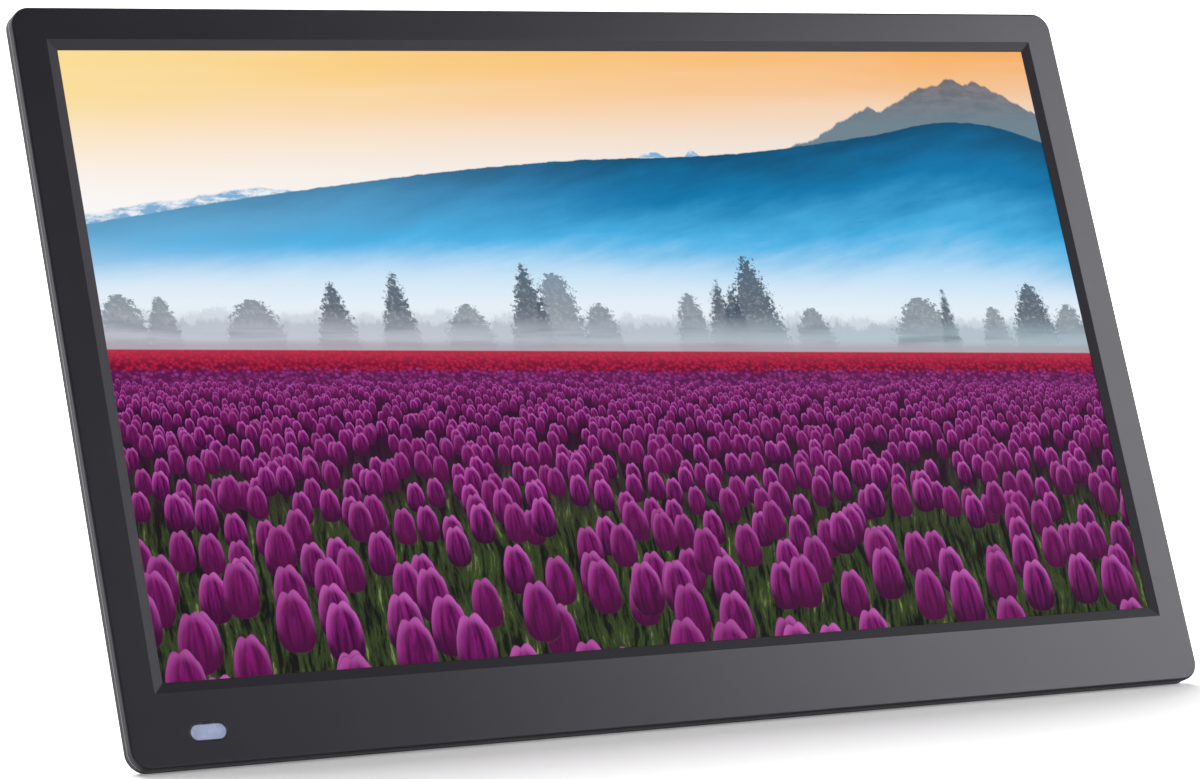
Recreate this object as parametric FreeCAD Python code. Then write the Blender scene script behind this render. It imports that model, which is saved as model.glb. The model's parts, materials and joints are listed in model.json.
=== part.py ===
import FreeCAD, Part
import math
import os

Vector = FreeCAD.Vector

# A digital photo frame that leans back on a folding rear leg.
# Every piece is modelled with the frame upright and is leaned back when it is written.
# In the upright frame x runs to the right, d runs from the front face to the back,
# and u runs up the face from the bottom edge. All sizes are in millimetres.

# ---- stance ----
lean_angle = 22.3
foot_reach = 91.0             # from the resting edge of the rim to the middle of the foot

# ---- front bezel ----
opening_width = 344.2
opening_height = 192.6
side_bezel = 13.2
top_bezel = 13.4
chin_height = 24.7
rim_depth = 5.3
corner_radius = 6.0
front_edge_round = 0.7
bezel_plate = 2.0
bezel_wall = 2.0
lip_width = 3.2               # mitred slope around the picture
lip_slope = 0.8
lip_thickness = 1.0
post_radius = 2.4
touch_gap = 0.1               # between posts and what they stop just short of
hole_end = 1.0                # how far a hole is cut past the wall it goes through

# ---- indicator window in the chin ----
window_length = 12.0
window_height = 5.6
window_left = 24.3            # window centre from the left edge
window_up = 9.7
window_fit = 0.05
window_flange = 1.2
window_flange_depth = 0.8
sensor_board_length = 22.0
sensor_board_height = 8.4
sensor_board_depth = 1.0
sensor_gap = 1.8
stake_radius = 0.9
stake_spacing = 18.0
stake_tip = 1.4
sensor_part_offset = 2.6
sensor_part_length = 3.6
sensor_part_height = 3.4
sensor_part_depth = 1.2

# ---- display module ----
active_height = 193.6
active_width = 344.2
module_side = 7.65            # active area to the side of the module
module_top = 5.7
module_foot = 10.2
module_clearance = 0.3
sheet_steel = 0.2
skirt_steel = 0.3
frame_hem = 1.0               # how far the steel hem stays outside the opening
glass_thickness = 1.4
glass_margin = 3.4
films_thickness = 0.5
guide_thickness = 2.0
reflector_thickness = 0.2
tray_thickness = 0.5
light_bar_height = 1.2
light_count = 24
light_length = 5.0
light_bar_low = 0.8           # above the bottom edge of the glass
light_bar_gap = 0.1
light_inset = 0.2
guide_foot_gap = 2.0
film_margin = 2.6
stack_margin = 2.8
channel_offset = 52.0         # stiffening channels from the middle of the tray
channel_length = 275.4
channel_width = 9.0
driver_low = 2.0
driver_length = 190.0
driver_height = 13.0
driver_thickness = 0.8
driver_chip_x = (-60.0, -30.0, 40.0, 70.0)
driver_chip_rise = 8.45
driver_chip_length = 14.0
driver_chip_height = 5.0
driver_chip_thickness = 1.0
clip_spacing = 120.0
clip_length = 14.0
clip_thickness = 0.8
clip_overlap = 10.0
clip_post_up = 8.4
clip_room = 1.0

# ---- back cover ----
cover_inset = 1.2
cover_straight = 7.5          # depth where the cover starts to slope
cover_slope_inset = 16.0
cover_depth = 15.0
cover_wall = 2.2
cover_corner = 10.0
housing_half_width = 122.0
housing_low = 30.0
housing_from_top = 40.7
housing_depth = 27.0
housing_draft = 6.0
housing_corner = 9.0
housing_round = 1.6
slope_round = 2.0
cover_screw_side = 9.3
cover_screw_up = 8.4
cover_screw_inner = 62.0
cover_screw_seat = 7.6
cover_post_start = 6.1
cover_post_radius = 3.2
press_rib_up = 14.0
press_rib_length = 60.0
press_rib_x = 100.0
press_rib_thickness = 1.6
vent_slots = 10
vent_pitch = 6.2
vent_width = 2.0
vent_length = 46.0
vent_x = 52.0
vent_up = 122.0
grille_slots = 7
grille_pitch = 3.4
grille_width = 1.6
grille_margin = 3.0
grille_rise = 1.0
keyhole_x = 60.0
keyhole_from_top = 28.7
keyhole_head_radius = 4.2
keyhole_slot_radius = 2.2
keyhole_rise = 8.0
wall_bolt_spacing = 75.0
wall_bolt_up = 110.0
wall_bolt_hole = 2.3
strip_width = 9.0
strip_end = 8.0               # beyond the bolts
strip_steel = 1.2
strip_stake_radius = 1.2
strip_stake_head = 0.5
nut_radius = 3.4
nut_bore = 1.65
nut_length = 6.0
label_x = -84.0
label_up = 79.0
label_length = 56.0
label_height = 15.0
label_thickness = 0.2
label_fit = 0.2

# ---- screws ----
screw_shank = 1.0
screw_head = 1.9
screw_head_height = 1.2
screw_fit = 0.05
screw_seat_fit = 0.4
screw_tip = 0.6               # left between a screw's tip and the bottom of its post
board_screw_reach = 4.5
key_screw_reach = 3.5
blind_end = 0.5
recess_width = 0.5
recess_length = 2.2
recess_depth = 0.7

# ---- main board and what is on it ----
board_left = 44.0
board_right = 118.0
board_low = 66.0
board_high = 163.0
board_front = 15.4
board_thickness = 1.6
board_corner = 1.5
board_screw_inset = 3.4
board_screw_clear = 34.0      # from the sockets' mouths, which the screws stay clear of
board_post_radius = 2.6
port_face = 121.5             # mouths of the sockets
port_clearance = 0.3
wall_clearance = 0.4          # socket bodies to the inside of the shell
jack_up = 73.0
jack_width = 9.0
jack_height = 7.0
jack_length = 11.3
jack_nose_radius = 3.4
jack_bore = 2.8
jack_pin = 1.0
jack_pin_recess = 1.0
jack_pin_round = 0.6
jack_back = 1.4
switch_up = 85.0
switch_length = 9.0
switch_height = 3.6
switch_width = 9.0
switch_pocket = 3.0
knob_length = 2.2
knob_height = 1.4
knob_travel = 2.0
knob_stick_out = 1.6
moving_gap = 0.3
phone_up = 96.0
phone_width = 6.5
phone_height = 5.6
phone_length = 12.0
phone_nose_radius = 2.7
phone_bore = 1.8
phone_back = 1.0
usb_up = 109.0
usb_width = 13.1
usb_height = 5.7
usb_length = 14.0
usb_tongue = 1.84
usb_base = 2.5
usb_tongue_roof = 1.3         # above the tongue
usb_tongue_recess = 1.5
usb_tongue_side = 0.7
socket_shell = 0.35
video_up = 125.5
video_width = 14.6
video_height = 5.6
video_length = 11.5
video_tongue = 1.2
video_shoulder = 2.0
video_base = 2.0
video_tongue_side = 2.0
video_tongue_recess = 1.0
card_up = 149.0
card_width = 26.0
card_height = 3.4
card_length = 27.0
card_slot_width = 24.4
card_slot_height = 2.5
card_back = 2.0
card_gap = 0.2
chip_size = 17.0
chip_thickness = 1.3
chip_x = 68.0
chip_up = 104.0
memory_length = 9.0
memory_height = 12.0
memory_thickness = 1.1
memory_places = ((50.0, 104.0), (88.0, 110.0), (88.0, 94.0))
inductor_size = 7.0
inductor_thickness = 3.5
inductor_up = 80.0
inductor_x = (72.0, 82.0, 92.0)
capacitor_radius = 2.5
capacitor_height = 5.4
capacitor_places = ((62.0, 74.0), (74.0, 71.5), (101.0, 84.0), (101.0, 91.0))
header_height = 2.4
ribbon_socket_left = 54.0
ribbon_socket_right = 74.0
ribbon_socket_height = 4.0
ribbon_socket_rise = 1.0
ribbon_socket_thickness = 2.0
key_socket_thickness = 1.6
spreader_size = 24.0
spreader_base = 1.0
fin_height = 2.8
fin_count = 7
fin_thickness = 0.9
coin_radius = 10.0
coin_thickness = 3.2
coin_x = 60.0
coin_up = 138.0
coin_round = 0.4
coin_seat = 0.8
holder_wall = 1.4
holder_fit = 0.2
holder_height = 4.4

# ---- keys ----
key_names = ("power", "menu", "back", "previous", "next", "play", "enter")
key_centre_x = 64.0
key_pitch = 13.0
key_up = 174.0
key_length = 9.0
key_height = 5.6
key_stick_out = 0.8
key_travel = 0.4
key_fit = 0.3
key_flange = 1.0
key_flange_depth = 0.7
key_round = 0.4
key_board_height = 13.0
key_board_end = 13.0
key_board_thickness = 1.2
tact_size = 6.0
tact_height = 3.0
tact_plunger = 1.6
tact_plunger_height = 0.5

# ---- speakers ----
speaker_x = 85.0
speaker_up = 51.0
speaker_width = 40.0
speaker_height = 24.0
speaker_ear = 4.6
speaker_gasket = 2.0
speaker_flange = 1.0
basket_depth = 4.3
basket_draft = 3.0
basket_wall = 0.8
basket_margin = 2.5
basket_corner = 0.6           # how far the tub's ends stay from fully round
flange_corner = 1.0
basket_vent = 3.6
magnet_radius = 8.0
magnet_depth = 3.5
cone_thickness = 0.5
cone_margin = 3.6
cone_sink = 2.4
cone_middle_half = 4.0
cone_middle_height = 3.0
cone_middle_radius = 2.4
gasket_inset = 0.2
gasket_width = 2.5

# ---- stand ----
hinge_up = 115.0
hinge_depth = 23.9
leg_thickness = 5.0
leg_skin = 1.8
leg_round = 0.7
leg_rib = 2.4
leg_top_half = 25.2
leg_foot_half = 28.5
leg_window_half = 12.0
leg_window_height = 22.0
leg_window_up = 14.0          # from the foot pad
leg_window_corner = 5.0
leg_rib_share = 0.55          # height of the cross rib within the pocket
pin_radius = 2.0
pin_fit = 0.05
pin_head_radius = 3.0
pin_head = 1.2
pin_end = 0.4
pin_head_gap = 0.05
ear_thickness = 1.5
ear_radius = 3.6
bracket_steel = 1.0
bracket_above = 16.0
bracket_screw_rise = 11.0
bracket_post_depth = 3.0
bracket_screw_x = (-20.0, -7.0, 7.0, 20.0)
bracket_hole_floor = 0.8
bracket_screw_floor = 1.2
washer_radius = 3.2
washer_thickness = 0.7
foot_pad_length = 6.5
foot_pad_thickness = 6.4
recess_clearance = 2.0
recess_gap = 1.9              # under the folded leg
recess_above = 17.5

# ---- wiring ----
wire_radius = 0.7
ribbon_thickness = 0.3
bend_radius = 3.0

# ---- sizes that follow from the ones above ----
frame_width = opening_width + 2 * side_bezel
frame_height = chin_height + opening_height + top_bezel
half_width = frame_width / 2
opening_centre_up = chin_height + opening_height / 2
module_half = active_width / 2 + module_side
module_low = opening_centre_up - active_height / 2 - module_foot
module_high = opening_centre_up + active_height / 2 + module_top
glass_front = lip_thickness + sheet_steel
films_front = glass_front + glass_thickness
guide_front = films_front + films_thickness
reflector_front = guide_front + guide_thickness
tray_front = reflector_front + reflector_thickness
module_back = tray_front + tray_thickness
window_x = window_left - half_width
sensor_board_front = bezel_plate + window_flange_depth + sensor_gap
housing_high = frame_height - housing_from_top
keyhole_up = frame_height - keyhole_from_top
floor_inside = housing_depth - cover_wall
strip_front = floor_inside - strip_steel
wall_inside = housing_half_width - cover_wall
board_back = board_front + board_thickness
recess_half = leg_foot_half + recess_clearance
recess_floor = hinge_depth - leg_thickness / 2 - recess_gap
recess_top = hinge_up + recess_above
bracket_post_front = recess_floor - cover_wall - bracket_post_depth
pin_half = leg_top_half + moving_gap + washer_thickness + ear_thickness
key_board_half = key_pitch * (len(key_names) - 1) / 2 + key_board_end
key_stem_start = floor_inside - key_fit - key_flange_depth
tact_top = key_stem_start - key_travel - moving_gap
key_board_back = tact_top - tact_plunger_height - tact_height
speaker_flange_back = floor_inside - speaker_gasket
speaker_flange_front = speaker_flange_back - speaker_flange
basket_front = speaker_flange_front - basket_depth
lean = math.radians(lean_angle)
hinge_rise = hinge_up * math.cos(lean) - (hinge_depth - rim_depth) * math.sin(lean)
hinge_reach = hinge_up * math.sin(lean) + (hinge_depth - rim_depth) * math.cos(lean)
leg_slant = math.atan2(foot_reach - hinge_reach, hinge_rise)
leg_length = hinge_rise / math.cos(leg_slant)
leg_opening = lean_angle + math.degrees(leg_slant)
far = 1000.0                  # longer than any piece, for cutting blocks
tolerance = 0.01              # for finding edges by their place


# ---- shape helpers ----

def block(x0, x1, d0, d1, u0, u1):
    return Part.makeBox(x1 - x0, d1 - d0, u1 - u0, Vector(x0, d0, u0))


def centred(x, u, width, height, d0, d1):
    return block(x - width / 2, x + width / 2, d0, d1, u - height / 2, u + height / 2)


def rod(x, u, radius, d0, d1):
    """Cylinder along the depth."""
    return Part.makeCylinder(radius, d1 - d0, Vector(x, d0, u), Vector(0, 1, 0))


def cross_rod(d, u, radius, x0, x1):
    """Cylinder across the frame."""
    return Part.makeCylinder(radius, x1 - x0, Vector(x0, d, u), Vector(1, 0, 0))


def outline(x0, x1, u0, u1, radius, d):
    """Closed wire of a rectangle, with round corners if it has a radius, at one depth."""
    if radius == 0:
        corners = [Vector(x0, d, u0), Vector(x1, d, u0), Vector(x1, d, u1), Vector(x0, d, u1)]
        return Part.makePolygon(corners + corners[:1])
    centres = ((x1 - radius, u1 - radius), (x0 + radius, u1 - radius),
               (x0 + radius, u0 + radius), (x1 - radius, u0 + radius))
    arcs = []
    for quarter, (cx, cu) in enumerate(centres):
        angles = [math.radians(90 * quarter + step) for step in (0, 45, 90)]
        points = [Vector(cx + radius * math.cos(a), d, cu + radius * math.sin(a)) for a in angles]
        arcs.append(points)
    edges = []
    for this, following in zip(arcs, arcs[1:] + arcs[:1]):
        edges.append(Part.Arc(*this).toShape())
        if this[2].distanceToPoint(following[0]) > tolerance:
            edges.append(Part.makeLine(this[2], following[0]))
    return Part.Wire(edges)


def plate(x0, x1, u0, u1, d0, d1, radius=0):
    return Part.Face(outline(x0, x1, u0, u1, radius, d0)).extrude(Vector(0, d1 - d0, 0))


def stadium(x, u, length, height, d0, d1):
    """Plate with fully round ends, long side across or up."""
    radius = min(length, height) / 2
    return plate(x - length / 2, x + length / 2, u - height / 2, u + height / 2, d0, d1, radius)


def tapered(start, end):
    """Solid between two outlines, each given as (x0, x1, u0, u1, radius, d)."""
    return Part.makeLoft([outline(*start), outline(*end)], True, True)


def across(points, x0, x1):
    """Solid with one outline, given as (d, u) points, from x0 to x1."""
    corners = [Vector(x0, d, u) for d, u in points]
    return Part.Face(Part.makePolygon(corners + corners[:1])).extrude(Vector(x1 - x0, 0, 0))


def rounded_rim(body, radius, d):
    """Body with the edges that lie at one depth rounded off."""
    rim = [edge for edge in body.Edges
           if edge.BoundBox.YMin > d - tolerance and edge.BoundBox.YMax < d + tolerance]
    return body.makeFillet(radius, rim)


def joined(pieces):
    return pieces[0].fuse(pieces[1:]).removeSplitter()


def group(pieces):
    return Part.makeCompound(pieces)


def screw(x, u, seat, tip):
    """Cross-recessed screw along the depth, with its head on the seat's far side from the tip."""
    side = 1 if seat > tip else -1
    top = seat + side * screw_head_height
    head = rod(x, u, screw_head, min(seat, top), max(seat, top))
    shank = rod(x, u, screw_shank, min(seat, tip), max(seat, tip))
    body = head.fuse(shank)
    low, high = sorted((top, top - side * recess_depth))
    for width, height in ((recess_length, recess_width), (recess_width, recess_length)):
        body = body.cut(centred(x, u, width, height, low, high))
    return body


def screw_hole(x, u, d0, d1):
    return rod(x, u, screw_shank + screw_fit, d0, d1)


def wire(points, radius):
    """Round wire along straight runs joined by tangent arcs."""
    runs = [Vector(*point) for point in points]
    edges = []
    start = runs[0]
    for before, corner, after in zip(runs, runs[1:], runs[2:]):
        inward = (corner - before).normalize()
        outward = (after - corner).normalize()
        half_turn = inward.getAngle(outward) / 2
        reach = bend_radius * math.tan(half_turn)
        enter = corner - inward * reach
        leave = corner + outward * reach
        bisector = (outward - inward).normalize()
        middle = corner + bisector * (bend_radius / math.cos(half_turn) - bend_radius)
        edges.append(Part.makeLine(start, enter))
        edges.append(Part.Arc(enter, middle, leave).toShape())
        start = leave
    edges.append(Part.makeLine(start, runs[-1]))
    ring = Part.Wire([Part.makeCircle(radius, runs[0], runs[1] - runs[0])])
    return Part.Wire(edges).makePipeShell([ring], True, True)


def ribbon(route, x0, x1):
    """Flat cable that follows (d, u) points and is as thick as one ribbon."""
    back = [(d + ribbon_thickness, u) for d, u in reversed(route)]
    return across(list(route) + back, x0, x1)


# ---- places that several pieces share ----

cover_screw_places = [(side * x, cover_screw_up) for side in (-1, 1)
                      for x in (cover_screw_inner, half_width - cover_screw_side)]
clip_places = [(step * clip_spacing, clip_post_up) for step in (-1, 0, 1)]
stake_places = [(window_x + side * stake_spacing / 2, window_up) for side in (-1, 1)]
wall_bolt_places = [(side * wall_bolt_spacing / 2, wall_bolt_up + level * wall_bolt_spacing / 2)
                    for side in (-1, 1) for level in (-1, 1)]
board_screw_places = [(x, u) for x in (board_left + board_screw_inset,
                                             port_face - board_screw_clear)
                      for u in (board_low + board_screw_inset, board_high - board_screw_inset)]
key_screw_places = [(key_centre_x + side * (key_board_half - board_screw_inset), key_up)
                    for side in (-1, 1)]
key_places = [key_centre_x + key_pitch * (index - (len(key_names) - 1) / 2)
              for index in range(len(key_names))]
speaker_centres = [(side * speaker_x, speaker_up) for side in (-1, 1)]
speaker_screw_places = [(x + side * (speaker_width + speaker_ear) / 2, u)
                        for x, u in speaker_centres for side in (-1, 1)]
bracket_screw_places = [(x, hinge_up + bracket_screw_rise) for x in bracket_screw_x]


# ---- front ----

def front_bezel():
    body = plate(-half_width, half_width, 0, frame_height, 0, rim_depth, corner_radius)
    body = rounded_rim(body, front_edge_round, 0)
    wall = bezel_wall
    body = body.cut(plate(wall - half_width, half_width - wall, wall, frame_height - wall,
                          bezel_plate, rim_depth, corner_radius - wall))
    gap = module_clearance
    body = body.cut(block(-module_half - gap, module_half + gap, lip_thickness, bezel_plate,
                          module_low - gap, module_high + gap))
    for x, u in cover_screw_places:
        body = body.fuse(rod(x, u, post_radius, bezel_plate, cover_post_start - touch_gap))
    for x, u in clip_places:
        body = body.fuse(rod(x, u, post_radius, bezel_plate, module_back))
    for x, u in cover_screw_places + clip_places:
        body = body.cut(screw_hole(x, u, bezel_plate, module_back + hole_end))
    for x, u in stake_places:
        body = body.fuse(rod(x, u, stake_radius, bezel_plate, sensor_board_front + stake_tip))
    body = body.cut(stadium(window_x, window_up, window_length, window_height, 0, bezel_plate))
    half = opening_width / 2
    top = chin_height + opening_height
    slope = tapered((-half - lip_width, half + lip_width, chin_height - lip_width,
                     top + lip_width, 0, 0), (-half, half, chin_height, top, 0, lip_slope))
    body = body.cut(slope)
    return body.cut(block(-half, half, 0, lip_thickness, chin_height, top)).removeSplitter()


def sensor_window():
    lens = stadium(window_x, window_up, window_length - 2 * window_fit,
                   window_height - 2 * window_fit, 0, bezel_plate)
    flange = stadium(window_x, window_up, window_length + 2 * window_flange,
                     window_height + 2 * window_flange, bezel_plate,
                     bezel_plate + window_flange_depth)
    return joined([lens, flange])


def sensor_board():
    board = centred(window_x, window_up, sensor_board_length, sensor_board_height,
                    sensor_board_front, sensor_board_front + sensor_board_depth)
    for x, u in stake_places:
        board = board.cut(rod(x, u, stake_radius + screw_fit, 0, far))
    return board


def light_sensor():
    """Receiver and lamp that look through the window."""
    front = sensor_board_front - sensor_part_depth
    return group([centred(window_x + side * sensor_part_offset, window_up, sensor_part_length,
                          sensor_part_height, front, sensor_board_front) for side in (-1, 1)])


# ---- display module, from the front to the back ----

def lcd_front_frame():
    """Folded sheet-steel frame that holds the stack together."""
    body = block(-module_half, module_half, lip_thickness, module_back, module_low, module_high)
    body = body.cut(block(skirt_steel - module_half, module_half - skirt_steel, glass_front,
                          module_back, module_low + skirt_steel, module_high - skirt_steel))
    half = opening_width / 2 + frame_hem
    return body.cut(block(-half, half, lip_thickness, glass_front, chin_height - frame_hem,
                          chin_height + opening_height + frame_hem))


def panel_box(margin, d0, d1):
    """Block behind the picture, larger than the active area by a margin."""
    half = active_width / 2 + margin
    return block(-half, half, d0, d1, opening_centre_up - active_height / 2 - margin,
                 opening_centre_up + active_height / 2 + margin)


def lcd_panel():
    return panel_box(glass_margin, glass_front, films_front)


def lcd_mould_frame():
    """White plastic frame around the glass and the light guide."""
    half = module_half - skirt_steel
    body = block(-half, half, glass_front, tray_front, module_low + skirt_steel,
                 module_high - skirt_steel)
    body = body.cut(panel_box(glass_margin, glass_front, films_front))
    return body.cut(panel_box(stack_margin, films_front, tray_front))


def optical_films():
    return panel_box(film_margin, films_front, guide_front)


def light_guide():
    guide = panel_box(film_margin, guide_front, reflector_front)
    low = opening_centre_up - active_height / 2 - glass_margin
    return guide.cut(block(-far, far, 0, far, low, low + guide_foot_gap + light_bar_height))


def backlight_led_bar():
    """Strip of lamps that shines up into the bottom edge of the light guide."""
    low = opening_centre_up - active_height / 2 - glass_margin + light_bar_low
    half = active_width / 2
    gap = light_bar_gap
    strip = block(-half, half, guide_front + gap, reflector_front - gap, low,
                  low + light_bar_height / 2)
    gap += light_inset
    pieces = [strip]
    pitch = active_width / light_count
    for index in range(light_count):
        x = -half + pitch * (index + 0.5)
        pieces.append(block(x - light_length / 2, x + light_length / 2, guide_front + gap,
                            reflector_front - gap, low + light_bar_height / 2,
                            low + light_bar_height))
    return joined(pieces)


def reflector_sheet():
    return panel_box(film_margin, reflector_front, tray_front)


def lcd_rear_tray():
    """Rear plate of the display, with pressed stiffening channels."""
    half = module_half - skirt_steel
    body = block(-half, half, tray_front, module_back, module_low + skirt_steel,
                 module_high - skirt_steel)
    channel_depth = tray_thickness / 2
    for side in (-1, 1):
        body = body.cut(stadium(0, opening_centre_up + side * channel_offset, channel_length,
                                channel_width, module_back - channel_depth, module_back))
    return body


def panel_driver_board():
    low = module_low + driver_low
    body = block(-driver_length / 2, driver_length / 2, module_back,
                 module_back + driver_thickness, low, low + driver_height)
    for x, _ in clip_places:
        body = body.cut(block(x - clip_length / 2 - clip_room, x + clip_length / 2 + clip_room,
                              0, far, 0, module_low + clip_overlap + clip_room))
    top = module_back + driver_thickness
    chips = [centred(x, low + driver_chip_rise, driver_chip_length, driver_chip_height, top,
                     top + driver_chip_thickness) for x in driver_chip_x]
    return joined([body] + chips)


def panel_clips():
    clips = []
    for x, u in clip_places:
        clip = block(x - clip_length / 2, x + clip_length / 2, module_back,
                     module_back + clip_thickness, u - post_radius, module_low + clip_overlap)
        clips.append(clip.cut(screw_hole(x, u, 0, far)))
    return group(clips)


# ---- back cover ----

def cover_thickness_across():
    """Thickness of the sloping wall, measured across the frame."""
    slope = math.atan2(cover_depth - cover_straight, cover_slope_inset - cover_inset)
    return cover_wall / math.sin(slope)


def inset_outline(inset, radius, d):
    """Outline inside the frame's edge by an inset, as tapered takes it."""
    return (inset - half_width, half_width - inset, inset, frame_height - inset, radius, d)


def cover_outside():
    edge = inset_outline(cover_inset, corner_radius, cover_straight)
    shallow = plate(*edge[:4], rim_depth, cover_straight, corner_radius)
    slope = tapered(edge, inset_outline(cover_slope_inset, cover_corner, cover_depth))
    slope = rounded_rim(slope, slope_round, cover_depth)
    housing = tapered((-housing_half_width, housing_half_width, housing_low, housing_high,
                       housing_corner, cover_depth - cover_wall),
                      (-housing_half_width, housing_half_width, housing_low + housing_draft,
                       housing_high - housing_draft, housing_corner, housing_depth))
    housing = rounded_rim(housing, housing_round, housing_depth)
    return joined([shallow, slope, housing])


def cover_inside():
    thick = cover_thickness_across()
    run = cover_slope_inset - cover_inset
    rise = cover_depth - cover_straight
    straight_inset = cover_inset + cover_wall
    start = cover_straight - (thick - cover_wall) * rise / run
    end = cover_depth - cover_wall
    end_inset = straight_inset + (end - start) * run / rise
    edge = inset_outline(straight_inset, corner_radius - cover_wall, start)
    shallow = plate(*edge[:4], rim_depth, start, corner_radius - cover_wall)
    slope = tapered(edge, inset_outline(end_inset, cover_corner - cover_wall, end))
    draft = housing_draft / (housing_depth - cover_depth + cover_wall)
    wall = cover_wall * math.hypot(1, draft)
    low_start = housing_low + wall
    high_start = housing_high - wall
    shrink = draft * (floor_inside - end)
    radius = housing_corner - cover_wall
    housing = tapered((-wall_inside, wall_inside, low_start, high_start, radius, end),
                      (-wall_inside, wall_inside, low_start + shrink, high_start - shrink,
                       radius, floor_inside))
    return joined([shallow, slope, housing])


def cover_posts():
    """Everything that grows from the inside of the cover, before it is trimmed to the cover."""
    posts = [rod(x, u, cover_post_radius, cover_post_start, far) for x, u in cover_screw_places]
    posts += [rod(side * wall_bolt_spacing / 2, wall_bolt_up, strip_stake_radius,
                  strip_front - strip_stake_head, far) for side in (-1, 1)]
    posts += [rod(x, u, board_post_radius, board_back, far) for x, u in board_screw_places]
    posts += [rod(x, u, board_post_radius, key_board_back, far) for x, u in key_screw_places]
    posts += [rod(x, u, screw_head, speaker_flange_back, far) for x, u in speaker_screw_places]
    posts += [rod(x, u, board_post_radius, bracket_post_front, far)
              for x, u in bracket_screw_places]
    for side in (-1, 1):
        high = frame_height - press_rib_up
        posts.append(centred(side * press_rib_x, high, press_rib_length, press_rib_thickness,
                             module_back + touch_gap, far))
    return posts


def socket_openings():
    """Holes in the right-hand wall that the sockets look out of."""
    gap = port_clearance
    start = wall_inside - hole_end
    end = housing_half_width + hole_end
    holes = [cross_rod(jack_middle(), jack_up, jack_nose_radius + gap, start, end),
             cross_rod(phone_middle(), phone_up, phone_nose_radius + gap, start, end)]
    for up, width, height in ((usb_up, usb_width, usb_height), (video_up, video_width,
                                                                 video_height)):
        holes.append(block(start, end, board_back - gap, board_back + height + gap,
                           up - width / 2 - gap, up + width / 2 + gap))
    middle = board_back + card_height / 2
    holes.append(block(start, end, middle - card_slot_height / 2, middle + card_slot_height / 2,
                       card_up - card_slot_width / 2, card_up + card_slot_width / 2))
    middle = board_back + switch_height / 2
    reach = (knob_length + knob_travel) / 2 + moving_gap
    holes.append(block(start, end, middle - knob_height / 2 - moving_gap,
                       middle + knob_height / 2 + moving_gap, switch_up - reach,
                       switch_up + reach))
    return holes


def back_cover():
    outside = cover_outside()
    trough = block(-recess_half, recess_half, recess_floor, far, 0, recess_top)
    trough_room = block(-recess_half - cover_wall, recess_half + cover_wall,
                        recess_floor - cover_wall, far, 0, recess_top + cover_wall)
    inside = cover_inside().cut(trough_room)
    body = outside.cut(inside)
    for post in cover_posts():
        body = body.fuse(post.common(outside))
    body = body.cut(trough)
    for x, u in cover_screw_places:
        body = body.cut(rod(x, u, screw_head + screw_seat_fit, cover_screw_seat, far))
        body = body.cut(screw_hole(x, u, 0, far))
    for x, u in wall_bolt_places:
        body = body.cut(rod(x, u, wall_bolt_hole, floor_inside, far))
    for x, u in board_screw_places:
        body = body.cut(screw_hole(x, u, 0, board_back + board_screw_reach + blind_end))
    for x, u in key_screw_places:
        body = body.cut(screw_hole(x, u, 0, key_board_back + key_screw_reach + blind_end))
    for x, u in speaker_screw_places:
        body = body.cut(screw_hole(x, u, 0, floor_inside + hole_end))
    for x, u in bracket_screw_places:
        body = body.cut(screw_hole(x, u, bracket_post_front + bracket_hole_floor,
                                   recess_floor))
    for x in key_places:
        body = body.cut(stadium(x, key_up, key_length + 2 * key_fit, key_height + 2 * key_fit,
                                floor_inside, far))
    for hole in socket_openings():
        body = body.cut(hole)
    for side in (-1, 1):
        for index in range(vent_slots):
            x = side * (vent_x + vent_pitch * index)
            body = body.cut(stadium(x, vent_up, vent_width, vent_length, floor_inside, far))
        body = body.cut(rod(side * keyhole_x, keyhole_up - keyhole_rise / 2,
                            keyhole_head_radius, cover_depth - cover_wall, far))
        body = body.cut(stadium(side * keyhole_x, keyhole_up + keyhole_rise / 4,
                                2 * keyhole_slot_radius, keyhole_rise * 1.5,
                                cover_depth - cover_wall, far))
    for x, u in speaker_centres:
        for index in range(grille_slots):
            offset = grille_pitch * (index - (grille_slots - 1) / 2)
            share = math.sqrt(1 - (offset / (speaker_height / 2 + grille_rise)) ** 2)
            body = body.cut(stadium(x, u + offset, (speaker_width - 2 * grille_margin) * share,
                                    grille_width, floor_inside, far))
    label = centred(label_x, label_up, label_length, label_height,
                    housing_depth - label_thickness, far)
    return body.cut(label).removeSplitter()


def rating_label():
    return centred(label_x, label_up, label_length - 2 * label_fit, label_height - 2 * label_fit,
                   housing_depth - label_thickness, housing_depth)


def cover_screws():
    return group([screw(x, u, cover_screw_seat, bezel_plate + screw_tip)
                  for x, u in cover_screw_places])


def wall_mount_strips():
    """Steel strips staked inside the cover, each with two pressed nuts for a wall bracket."""
    strips = []
    for side in (-1, 1):
        middle = side * wall_bolt_spacing / 2
        strip = centred(middle, wall_bolt_up, strip_width, wall_bolt_spacing + 2 * strip_end,
                        strip_front, floor_inside)
        strip = strip.cut(rod(middle, wall_bolt_up, strip_stake_radius + screw_fit, 0, far))
        nuts = [(x, u) for x, u in wall_bolt_places if x == middle]
        for x, u in nuts:
            strip = strip.fuse(rod(x, u, nut_radius, floor_inside - nut_length, strip_front))
        for x, u in nuts:
            strip = strip.cut(rod(x, u, nut_bore, 0, far))
        strips.append(strip.removeSplitter())
    return group(strips)


# ---- main board ----

def jack_middle():
    return board_back + jack_height / 2


def phone_middle():
    return board_back + phone_height / 2


def main_board():
    board = plate(board_left, board_right, board_low, board_high, board_front, board_back,
                  board_corner)
    for x, u in board_screw_places:
        board = board.cut(screw_hole(x, u, 0, far))
    return board


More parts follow.
